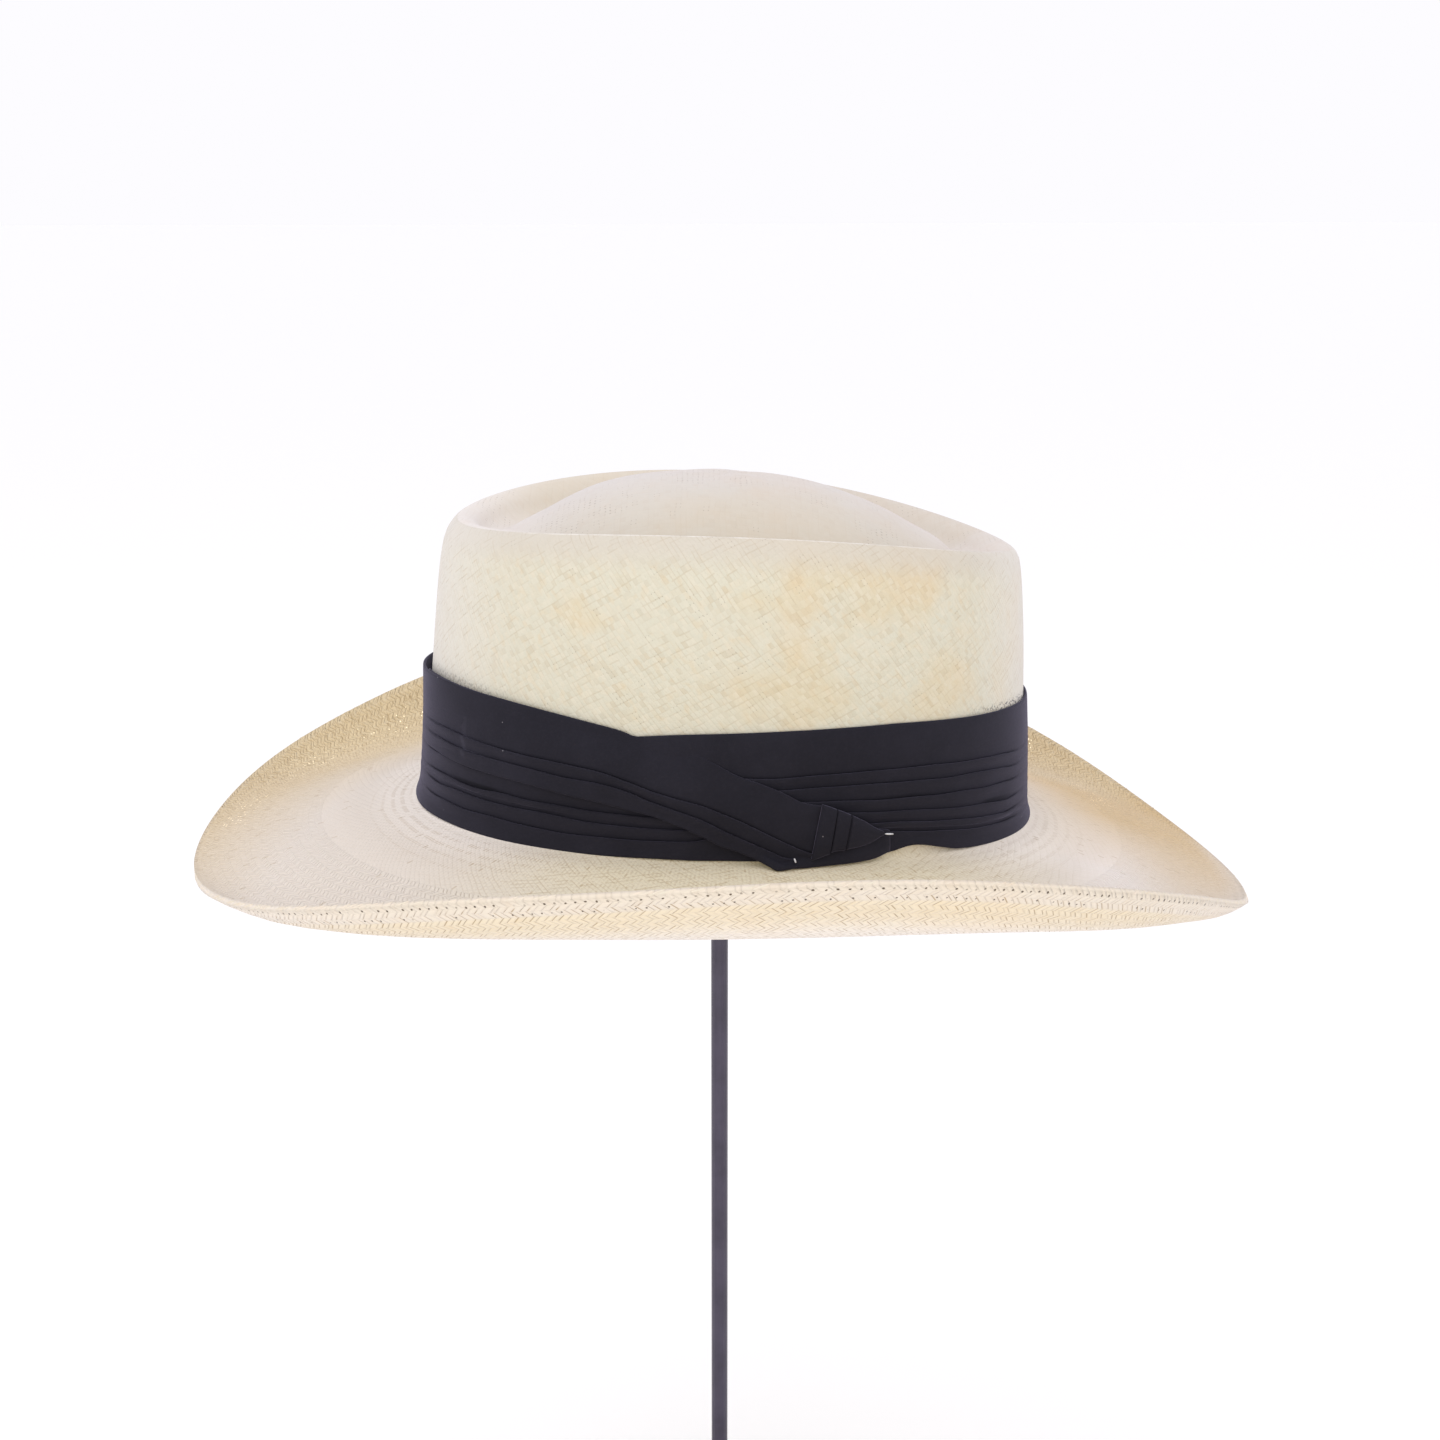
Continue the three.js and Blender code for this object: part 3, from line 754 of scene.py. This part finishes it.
def straw_finish(name, outer):
    """Woven straw: crossing strands on the crown, herringbone rows on the outer brim."""
    s = Shader(name)
    turns, arc, _ = s.split(s.uv())
    arc = arc * (1 / MM)
    x, y, _ = s.xyz
    on_wall = arc.over(CREST)
    out = brim_share(arc)
    on_brim = out.over(-0.08)
    ribbed = out.over(WEAVE_CHANGE)

    # Strands of the wall and the inner brim slant round them, those of the top run straight
    warp = (s.noise(90, 1, 0.5) - 0.5) * 0.8
    shallow_strands = round(WALL_ROUND * math.sin(SHALLOW_SLANT) / SHALLOW_PITCH)
    steep_strands = round(WALL_ROUND * math.sin(STEEP_SLANT) / STEEP_PITCH)
    wall_first = turns * shallow_strands + arc * (math.cos(SHALLOW_SLANT) / SHALLOW_PITCH)
    wall_second = turns * steep_strands - arc * (math.cos(STEEP_SLANT) / STEEP_PITCH)
    top_cos, top_sin = (side / (TOP_PITCH * MM) for side in (math.cos(TOP_TURN), math.sin(TOP_TURN)))
    first = s.choose(on_wall, x * top_cos + y * top_sin, wall_first) + warp
    second = s.choose(on_wall, y * top_cos - x * top_sin, wall_second) + warp
    cross_height, cross_gap, cell, stretch = crossing(s, first, second, shallow_strands, steep_strands)

    # Herringbone rows: strands slant to one side, then to the other
    rows = (out + out * out * BRIM_ROW_CLOSING) * ((EDGE - FOOT) / BRIM_ROW_AT_FOOT)
    row = rows.floor()
    strand = turns * BRIM_STRANDS + 0.9 * rows.math("PINGPONG", 1) + s.chance(row, 5)
    strand = strand + (s.noise(1, 0, 0.5, at=s.join(strand * 0.8, row * 7)) - 0.5) * 1.2
    strand_side = strand.off_centre()
    number = strand.floor() % BRIM_STRANDS
    seam = s.chance((strand + 0.5).floor() % BRIM_STRANDS, row, 6)
    rib_height = (1 - strand_side**3) * (1 - 0.4 * rows.off_centre() ** 6)
    rib_gap = strand_side.rise(0.8, 0.97) * seam.rise(0.05, 0.75)
    rib_gap = rib_gap * (1 - 0.8 * rows.off_centre().rise(0.6 + 0.4 * seam, 1.1))
    relief = s.choose(on_brim, 0.15 + 0.13 * on_wall, 0.45)
    height = s.choose(ribbed, cross_height * relief, rib_height)

    # Tints: whole patches, then stretches of a strand, then single crossings
    tint = 1 if outer else 1.7
    below = (arc - CREST).rise(10, 40)
    blotch = s.noise(46, 3, 0.6) + x.rise(0, 0.08) * 0.055 + (1 - below) * 0.06
    other = s.noise(33, 2, 0.5, 7.0) + (-x).rise(-0.03, 0.06) * 0.2 + below * 0.08
    mottle = s.noise(1, 1, 0.5, at=s.join(first * 0.42, second * 0.42))
    run = s.choose(ribbed, stretch, s.chance(number, (rows * 0.4).floor()))
    single = s.choose(ribbed, cell, s.chance(number, row))
    colour = s.layered(
        CREAM,
        (blotch.rise(0.52, 0.7) * 0.6, TAN), (other.rise(0.5, 0.64) * 0.8, GREEN_CREAM),
        (mottle.rise(0.55, 0.7) * 0.3, TAN), (mottle.fall(0.32, 0.46) * 0.28, PALE),
        (run.rise(0.5, 1) * (0.17 * tint), PALE), (run.fall(0, 0.5) * (0.15 * tint), TAN),
        (single.rise(0.6, 1) * (0.3 * tint), PALE), (single.fall(0, 0.25) * (0.14 * tint), GAP_BROWN),
    )
    cross_gap = cross_gap * s.choose(on_wall, 0.06, 0.19)
    gap = s.choose(ribbed, cross_gap, rib_gap * (0.5 if outer else 0.85))
    from_edge = EDGE - arc
    glow = NO_LIGHT
    if outer:
        colour = crown_tints(s, colour, arc)
        colour, near, roll_shade = brim_tints(s, colour, out)
        colour = brim_marks(s, colour, turns, arc, near, roll_shade)
        glow = light_through(s, turns, arc, near)
        ends = abs(x).rise(0.068, 0.1) * on_wall
        gap = gap * s.choose(on_brim, 1 + ends * 0.7, 0.3 + roll_shade.math("MAXIMUM", near * 2.6))
    else:
        under = s.layered(
            HEM_CREAM,
            (from_edge.rise(3.8, 5.2), HEM_TAN), (from_edge.rise(8, 20), UNDER_PALE),
            (abs(x).rise(0.1, 0.165) * 0.8, END_PINK),
        )
        colour = s.blend(on_brim * 0.7, colour, under)
        gap = gap * from_edge.rise(1.5, 2.4)

    # Small dark pin holes where strands part, more of them in a few patches of the top
    patch = s.noise(24, 1, 0.5).rise(0.53, 0.6) * (1 - on_wall)
    rare = s.chance(first.floor(), second.floor(), 7)
    corner = first.off_centre().rise(0.5, 0.9) * second.off_centre().rise(0.5, 0.9)
    pins = rare.over(0.98 - 0.2 * patch) * corner
    colour = s.layered(colour, (gap.clamped(), GAP_BROWN), (pins * (1 - on_brim) * 0.42, PIN_BROWN))

    # Holes in the hem
    jitter = s.noise(210, 1, 0.5) - 0.5
    hole_turn = turns * HOLES_ROUND + jitter * 0.5
    for distance, shift, size, missing in HOLE_ROWS:
        sideways = ((hole_turn + shift).fract() - 0.5) * (math.tau * HEM_RADIUS / HOLES_ROUND)
        upward = (from_edge - distance + jitter * 1.2) * 1.3
        far = (sideways * sideways + upward * upward).math("SQRT")
        weight = s.chance((hole_turn + shift).floor() % HOLES_ROUND, distance)
        hole = far.fall(size * 0.5, size) * weight.rise(missing - 0.3, missing + 0.1)
        height = height - hole
        if not outer:
            colour = s.blend(hole * 0.95, colour, PIN_BROWN)
    if outer:
        # The band's fuzz and its painted shadow darken the straw just above the band.
        colour = s.blend(fuzz_and_band_shadow(s) * (1 - on_brim), colour, BLACK)
    surface = {
        "Base Color": colour,
        "Roughness": 0.66,
        "Specular IOR Level": 0.3,
        "Sheen Weight": 0.2,
        "Sheen Roughness": 0.5,
        "Sheen Tint": SHEEN_LILAC,
        "Emission Color": glow,
        "Emission Strength": 1.0 if outer else 0.0,
    }
    return s.finish(surface, height, 0.00022)


def strand_finish(name):
    """The bound strands along the brim's edge."""
    s = Shader(name)
    colour = s.layered(
        HEM_CREAM,
        (s.noise(260, 2, 0.6).rise(0.35, 0.7), PALE),
        (s.noise(90, 1, 0.5).rise(0.55, 0.75) * 0.5, TAN),
    )
    fibres = s.noise(2600, 2, 0.5)
    return s.finish({"Base Color": colour, "Roughness": 0.6, "Specular IOR Level": 0.4}, fibres, 0.0001)


def cloth_finish(name):
    """Matte black cotton with a fine plain weave, a few specks of lint, and painted shade deep in its
    folds and along its lower edges.
    """
    s = Shader(name)
    turns, across, _ = s.split(s.uv())
    warp = (turns * WARP_THREADS).off_centre()
    weft = (across * WEFT_THREADS).off_centre()
    weave = (1 - warp**2) * 0.5 + (1 - weft**2) * 0.5
    soft = s.noise(55, 3, 0.6)
    fine = s.noise(900, 2, 0.6)
    painted_fold_shade = s.node("ShaderNodeAttribute", {"attribute_name": "painted_fold_shade"}, None, "Fac")
    lint = s.node("ShaderNodeTexVoronoi", None, {"Vector": s.place, "Scale": 170.0}, "Distance")
    speck = lint.fall(0.02, 0.05) * s.noise(60, 0, 0.5).rise(0.6, 0.66)
    # Deep in the folds and along the lower edges, the cloth is painted near black as shade.
    colour = s.layered(
        BLACK,
        (soft.rise(0.35, 0.75) * 0.5 + fine.rise(0.4, 0.8) * 0.25, BLACK_WORN),
        (painted_fold_shade * 0.9, FOLD_PAINTED_SHADE), (speck * 0.6, LINT),
    )
    surface = {
        "Base Color": colour,
        "Roughness": 0.82 + soft * 0.12,
        "Specular IOR Level": 0.16,
        "Sheen Weight": 0.27,
        "Sheen Roughness": 0.4,
        "Sheen Tint": CLOTH_SHEEN,
    }
    return s.finish(surface, weave * 0.5 + fine * 0.5, 0.00006)


def thread_finish(name):
    s = Shader(name)
    twist = s.noise(1500, 1, 0.5)
    colour = s.blend(twist, THREAD_GREY, THREAD_WHITE)
    return s.finish({"Base Color": colour, "Roughness": 0.6}, twist, 0.0001)


def paint_finish(name):
    """Dark satin paint on steel, a little uneven from spraying and handling."""
    s = Shader(name)
    x, y, z = s.xyz
    cloud = s.noise(70, 3, 0.6)
    grain = s.noise(1400, 2, 0.6)
    drawn = s.noise(1, 2, 0.5, at=s.join(x * 900, y * 900, z * 12))
    colour = s.blend(cloud.rise(0.3, 0.7), PAINT_DARK, PAINT_LIGHT)
    colour = s.blend(drawn.rise(0.62, 0.78) * 0.35, colour, PAINT_DRAWN)
    surface = {
        "Base Color": colour,
        "Metallic": 0.25,
        "Roughness": 0.36 + cloud * 0.16,
        "Coat Weight": 0.15,
        "Coat Roughness": 0.3,
    }
    return s.finish(surface, grain * 0.6 + drawn * 0.4, 0.00005)


# Straw
def straw_arcs():
    """Places of the straw's rows of faces, closest where it bends most."""
    arcs = [0]
    for low, high in zip(ARCS, ARCS[1:]):
        steps = max(2, round((high - low) / STRAW_ROW_STEP))
        arcs += [mix(low, high, (k + 1) / steps) for k in range(steps)]
    extra = [CREST + offset for offset in PINCH_ROWS]
    arcs = [arc for arc in arcs if all(abs(arc - other) > 0.5 for other in extra)]
    return sorted(arcs + extra)


def make_straw(outer, inner):
    bm = spun(straw_arcs(), STRAW_AROUND, on_axis=True)
    map_spun(bm, lambda arc: arc * MM)
    key = bm.verts.layers.float["across"]
    weights = bm.verts.layers.deform.verify()
    for vert in bm.verts:
        arc = vert[key]
        hem = max(0, min(1, (arc - EDGE + HEM_REACH) / 2))
        vert[weights][0] = mix(STRAW_WALL / HEM_WALL, 1, hem)
        vert.co = in_frame(straw_point(arc, turn_of(vert.co) * 360))
    piece = finish_mesh(bm, "woven_straw", [outer, inner])
    piece.vertex_groups.new(name="wall")
    wall = piece.modifiers.new("wall", "SOLIDIFY")
    wall.thickness = HEM_WALL * MM
    wall.offset = -1
    wall.vertex_group = "wall"
    wall.material_offset = 1
    wall.material_offset_rim = 1
    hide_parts("straw_body")


def make_edge_strands(material):
    """Short slanting strands that bind the brim's edge."""
    one = bmesh.new()
    bmesh.ops.create_uvsphere(one, u_segments=8, v_segments=5, radius=1)
    bmesh.ops.rotate(one, verts=one.verts, cent=(0, 0, 0), matrix=Matrix.Rotation(math.pi / 2, 3, "Y"))
    shape = as_mesh(one, "edge_strand")
    rng = random.Random(11)
    bm = bmesh.new()
    for k in range(EDGE_STRANDS):
        angle = 360 * k / EDGE_STRANDS
        here = Vector(straw_point(EDGE, angle))
        ahead = (Vector(straw_point(EDGE, angle + 0.5)) - here).normalized()
        outward = (here - Vector(straw_point(EDGE - 2, angle))).normalized()
        normal = ahead.cross(outward).normalized()
        if normal.z <= 0:
            normal = -normal
        slant = Matrix.Rotation(math.radians(EDGE_STRAND_TURN + rng.uniform(-7, 7)), 3, outward)
        along = slant @ ahead
        third = along.cross(outward).normalized()
        size = [side * rng.uniform(0.8, 1.15) for side in EDGE_STRAND_SIZE]
        axes = Matrix((along * size[0], outward * size[1], third * size[2])).transposed()
        inward = rng.uniform(0.05, 0.4)
        middle = here - normal * (HEM_WALL / 2) - outward * inward
        before = len(bm.verts)
        bm.from_mesh(shape)
        bm.verts.ensure_lookup_table()
        for vert in bm.verts[before:]:
            vert.co = in_frame(middle + axes @ vert.co)
    bpy.data.meshes.remove(shape)
    finish_mesh(bm, "edge_strands", [material])


# Hatband
def beside_crown(angle, height, stand_off):
    """A point beside the crown's wall. The cloth leans away from it at the front, and a
    little along its lower edge at both ends."""
    turn = math.radians(angle)
    to_front = max(0, -math.cos(turn)) ** 2
    away = stand_off + BAND_FLARE_FRONT * to_front * (max(0, height) / BAND_HEIGHT) ** FLARE_POWER
    away += BAND_FLARE_LOW * math.cos(turn) ** 2 * max(0, 1 - max(0, height) / LOW_REACH) ** 2
    level = (height - FOOT_LEVEL) / (BAND_LEVEL - FOOT_LEVEL)
    length, width, shift = (mix(a, b, level) for a, b in zip(FOOT_OVAL, BAND_OVAL))
    saddle = FOOT_SADDLE * math.cos(2 * turn)
    return (
        (length + away) * math.cos(turn) + shift,
        (width + away) * math.sin(turn),
        height - saddle,
    )


def round_from(start, angle):
    """The angle as it is met on the way round the back from the start."""
    return (angle - start) % 360 + start


@lru_cache(maxsize=None)
def band_lines(angle):
    """Heights of the band's upper edge, of its pleats and of its lower edge."""
    turn = math.radians(angle)
    top = row_at(BAND_TOP, round_from(BAND_TOP[0][0], angle))
    lower = row_at(PLEATS, round_from(PLEATS[0][0], angle))
    waves = [0.1 * math.sin(17 * turn + 2.3 * i) + 0.07 * math.sin(29 * turn + i) for i in range(6)]
    return top + [height + wave for height, wave in zip(lower, waves + [0])]


def gape(angle, line):
    """How far a fold stands open there, in millimetres."""
    open_by = 0
    for centre, pleat, reach, by in GAPES:
        if pleat == line:
            away = abs((angle - centre + 180) % 360 - 180) / reach
            open_by += by * max(0, 1 - away**2) ** 2
    return open_by


def pulled_flat(angle):
    """How much the pleats are pulled flat there, at both ends of the hat."""
    shares = []
    for centre, full, none in FLAT_ENDS:
        away = abs((angle - centre + 180) % 360 - 180)
        shares.append(eased((none - away) / (none - full)))
    return max(shares)


# A pleat from above to below: rise over its line, the same where the cloth is pulled flat, stand-off,
# how much it joins in a gape, and how much painted shade darkens it deep in the fold. The cloth below
# stands in front, with its lip turned up.
FOLD = [
    (1.1, 1.1, BAND_THIN, 0, 0),
    (0.25, 0.8, BAND_THIN - 0.12, 0, 0.1),
    (-0.5, 0.5, BAND_THIN - 0.5, 0, 0.9),
    (-1.1, 0.2, BAND_THIN - 0.6, 0, 1),
    (-1.1, -0.1, BAND_THIN - 0.35, 0, 1),
    (-0.35, -0.4, BAND_THICK - 0.5, 0.9, 1),
    (0, -0.7, BAND_THICK - 0.25, 1, 0.5),
    (-0.08, -1, BAND_THICK - 0.05, 0.95, 0),
    (-0.4, -1.4, BAND_THICK, 0.85, 0),
    (-1.9, -1.9, BAND_THICK - 0.25, 0.3, 0),
]
# The upper and the lower edge: rise and stand-off, and for the lower one the depth of its painted shade
# too
UPPER_EDGE = [
    (-0.3, 0.05), (-0.05, 0.3), (0, 0.6), (-0.2, 0.95), (-0.7, BAND_THIN), (-2.5, BAND_THIN + 0.08),
]
LOWER_EDGE = [
    (2.2, BAND_THICK - 0.22, 0), (0.35, BAND_THICK, 0), (0.12, BAND_THICK - 0.03, 0.8),
    (0, BAND_THICK - 0.25, 1), (0.1, 0.7, 1),
]


def pleated_profile(pleats):
    """Points of a pleated section: line, rise, rise where it is pulled flat, stand-off, share of a gape,
    and how much painted shade darkens it in a fold."""
    last = pleats + 1
    points = [(0, rise, rise, stand_off, 0, 0) for rise, stand_off in UPPER_EDGE]
    points.append((0.5, 0, 0, BAND_THIN + 0.25, 0, 0))
    for line in range(1, last):
        points += [(line, *step) for step in FOLD]
    points += [(last, rise, rise, stand_off, 0, depth) for rise, stand_off, depth in LOWER_EDGE]
    points += [(last, 1.2, 1.2, 0, 0, 0), (last / 2, 0, 0, 0, 0, 0)]
    return points


def along_lines(lines, line):
    """The height at a line, or between two of them."""
    low = int(line)
    high = min(low + 1, len(lines) - 1)
    return mix(lines[low], lines[high], line - low)


def make_hatband(material):
    profile = pleated_profile(len(PLEATS[0]) - 2)
    bm = spun(range(len(profile)), BAND_AROUND, closed=True)
    map_spun(bm, lambda k: (6 * profile[round(k)][0] - profile[round(k)][1]) * MM)
    key = bm.verts.layers.float["across"]
    # Each point keeps how much painted fold shade the cloth's finish lays on it.
    painted_fold_shade = bm.verts.layers.float.new("painted_fold_shade")
    for vert in bm.verts:
        line, rise, pulled, stand_off, opens, depth = profile[round(vert[key])]
        angle = (turn_of(vert.co) * 360 + 180) % 360 - 180
        turn = math.radians(angle)
        lines = band_lines(round(angle, 4))
        if stand_off > 0.1:
            stand_off += 0.12 * math.sin(6 * turn + line) + 0.08 * math.sin(13 * turn + 2 * line)
        if 0 < line < len(lines) - 1 and line == int(line):
            open_by = gape(angle, line)
            stand_off += opens * open_by * GAPE_OUT
            rise -= opens * open_by * GAPE_DROP
            rise *= 1 + GAPE_DEPTH * open_by * (opens == 0 and rise < 0)
            # A fold that stands open gets more painted shade, and one that is pulled flat gets less.
            if depth > 0:
                depth = max(depth, min(1, open_by))
            flat = END_FLATTENING * pulled_flat(angle)
            stand_off = mix(stand_off, BAND_FLAT, flat)
            rise = mix(rise, pulled, flat)
            depth *= 1 - flat
        vert[painted_fold_shade] = depth
        height = along_lines(lines, line) + rise
        vert.co = in_frame(beside_crown(angle, height, BAND_GAP + stand_off))
    return finish_mesh(bm, "pleated_band", [material], "hatband")


def grid(around, along):
    """A grid of points that rolls into a tube, each with its place round it and along it."""
    bm = bmesh.new()
    bmesh.ops.create_grid(bm, x_segments=around, y_segments=along, size=0.5)
    i = bm.verts.layers.float.new("across")
    j = bm.verts.layers.float.new("along")
    for vert in bm.verts:
        vert[i] = round((vert.co.x + 0.5) * around) % around
        vert[j] = round((vert.co.y + 0.5) * along)
    return bm


def finish_tube(bm, name, node, material):
    """Joins the seam of a rolled grid and caps both its ends. Its UV is turns round the hat,
    and height in metres."""
    bmesh.ops.remove_doubles(bm, verts=bm.verts, dist=0.000001)
    rims = [edge for edge in bm.edges if edge.is_boundary]
    caps = bmesh.ops.holes_fill(bm, edges=rims, sides=0)
    bmesh.ops.triangulate(bm, faces=caps["faces"])
    uv = bm.loops.layers.uv.new("weave")
    for face in bm.faces:
        for loop in face.loops:
            loop[uv].uv = (turn_of(loop.vert.co), loop.vert.co.z)
    return finish_mesh(bm, name, [material], node)


@lru_cache(maxsize=None)
def swath_cut(step):
    return smooth_rows(range(len(SWATH_CUTS)), SWATH_CUTS, step * (len(SWATH_CUTS) - 1) / SWATH_STEPS)


def swath_point(step, line, rise, stand_off):
    """A point of the swath, with rise measured across it."""
    *edges, lift_up, lift_folds, lift_low = swath_cut(step)
    lifts = [lift_up, lift_folds, lift_folds, lift_low]
    low = min(int(line), 2)
    a0, h0, a1, h1 = edges[2 * low:2 * low + 4]
    round_it = math.pi * (BAND_OVAL[0] + BAND_OVAL[1]) / 360
    long = math.hypot((a1 - a0) * round_it, h1 - h0)
    share = line - low
    lift = mix(lifts[low], lifts[low + 1], share)
    swell = FOLD_SWELL * math.sin(math.pi * line / 3) * (lift > 0)
    share -= rise / long
    return beside_crown(mix(a0, a1, share), mix(h0, h1, share), BAND_GAP + stand_off + lift + swell)


def make_swath(material):
    profile = pleated_profile(2)
    bm = grid(len(profile), SWATH_STEPS)
    i, j = bm.verts.layers.float["across"], bm.verts.layers.float["along"]
    # Each point keeps how much painted fold shade the cloth's finish lays on it.
    painted_fold_shade = bm.verts.layers.float.new("painted_fold_shade")
    for vert in bm.verts:
        line, rise, _, stand_off, _, vert[painted_fold_shade] = profile[round(vert[i])]
        vert.co = in_frame(swath_point(round(vert[j]), line, rise, stand_off))
    return finish_tube(bm, "folded_swath", "band_swath", material)


# Section of a small patch of cloth: share of the way down, and stand-off
PATCH_SECTION = [
    (0, 0.35), (0.01, 0.8), (0.05, 1.15), (0.3, 1.3), (0.7, 1.3), (0.95, 1.1), (0.99, 0.8),
    (1, 0.35), (0.97, 0), (0.5, 0), (0.03, 0),
]


def make_patch(name, node, cuts, steps, pleats, material):
    """A small patch of cloth given by a few cuts across it."""
    bm = grid(len(PATCH_SECTION), steps)
    i, j = bm.verts.layers.float["across"], bm.verts.layers.float["along"]
    for vert in bm.verts:
        share, stand_off = PATCH_SECTION[round(vert[i])]
        along = round(vert[j]) / steps
        place = along * (len(cuts) - 1)
        angle_up, up, angle_low, low, off_up, off_low = smooth_rows(range(len(cuts)), cuts, place)
        stand_off *= min(1, PATCH_END + PATCH_THICKENING * min(along, 1 - along))
        if stand_off > 0.5:
            stand_off += sum(by * pleat_lip(place - at) for at, by in pleats)
        stand_off += BAND_GAP + mix(off_up, off_low, share)
        vert.co = in_frame(beside_crown(mix(angle_up, angle_low, share), mix(up, low, share), stand_off))
    return finish_tube(bm, name, node, material)


def pleat_lip(past):
    """The lip of an upright pleat, which rises up to its line, and the groove past it."""
    if past < 0:
        return max(0, 1 + past / 1.3) ** 2
    return -1.5 * max(0, 1 - abs(past / TAB_GROOVE - 1))


def make_stitches(material):
    bm = bmesh.new()
    for start, end in STITCHES:
        a, b = (in_frame(beside_crown(*place)) for place in (start, end))
        middle, along = (a + b) / 2, b - a
        turn = along.to_track_quat("Z", "Y").to_matrix().to_4x4()
        size = Matrix.Diagonal((STITCH_RADIUS * MM, STITCH_RADIUS * MM, along.length / 2, 1))
        bmesh.ops.create_uvsphere(
            bm, u_segments=10, v_segments=9, radius=1, matrix=Matrix.Translation(middle) @ turn @ size
        )
    return finish_mesh(bm, "tacking_threads", [material])


make_straw(straw_finish("straw_outer_face", True), straw_finish("straw_inner_face", False))
make_edge_strands(strand_finish("straw_strands"))
cloth = cloth_finish("black_cotton")
band_piece = make_hatband(cloth)
swath_piece = make_swath(cloth)
tab_piece = make_patch("pleated_tab", "band_tab", TAB_CUTS, TAB_STEPS, TAB_PLEATS, cloth)
tuck_piece = make_patch("tucked_lip", "band_tuck", TUCK_CUTS, TUCK_STEPS, [], cloth)
stitch_piece = make_stitches(thread_finish("white_thread"))

# Stand: its CAD pieces keep their shape and get their paint
paint = paint_finish("satin_paint")
for node in ("stand_base", "stand_post", "stand_rest"):
    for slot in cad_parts[node].material_slots:
        slot.material = paint


# Stage
FLOOR_HALF = 30
FLOOR_COLOUR = (0.78, 0.775, 0.79)
FLOOR_GLOW = (0.216, 0.219, 0.21)
WORLD_COLOUR = (0.982, 0.973, 1.0, 1)
LIGHTS_AIM = (0, 0, 0.35)
# Round soft lights: name, place, diameter, power and colour
LIGHTS = [
    ("overhead", (-0.4, 0.2, 2.2), 1.8, 5, (0.97, 0.93, 1.0)),
    ("front_fill", (-0.5, -2.3, 0.8), 1.6, 12, (1.0, 0.97, 0.92)),
]


def make_floor():
    bm = bmesh.new()
    bmesh.ops.create_grid(bm, x_segments=1, y_segments=1, size=FLOOR_HALF)
    mesh = as_mesh(bm, "floor")
    s = Shader("pale_floor")
    inputs = {
        "Base Color": FLOOR_COLOUR, "Roughness": 0.9, "Specular IOR Level": 0.1,
        "Emission Color": FLOOR_GLOW, "Emission Strength": 1.0,
    }
    mesh.materials.append(s.finish(inputs))
    floor = add_object("floor", mesh)


def make_light(name, place, size, power, colour):
    data = bpy.data.lights.new(name, "AREA")
    data.shape = "DISK"
    data.size = size
    data.energy = power
    data.color = colour
    light = add_object(name, data)
    light.location = place
    light.rotation_euler = (Vector(LIGHTS_AIM) - Vector(place)).to_track_quat("-Z", "Y").to_euler()


def make_camera():
    data = bpy.data.cameras.new("camera")
    data.lens = CAMERA_LENS
    data.sensor_width = CAMERA_SENSOR
    data.clip_start = 0.01
    data.clip_end = 200
    camera = add_object("camera", data)
    camera.location = CAMERA_PLACE
    camera.rotation_euler = (math.radians(90 - CAMERA_DOWN), 0, math.radians(CAMERA_TURN))
    bpy.context.scene.camera = camera


def make_world():
    world = bpy.data.worlds.new("studio")
    world.use_nodes = True
    background = world.node_tree.nodes["Background"]
    background.inputs["Color"].default_value = WORLD_COLOUR
    background.inputs["Strength"].default_value = 1.0
    bpy.context.scene.world = world
    bpy.context.scene.view_settings.view_transform = "Standard"


make_floor()
for row in LIGHTS:
    make_light(*row)
make_world()
make_camera()
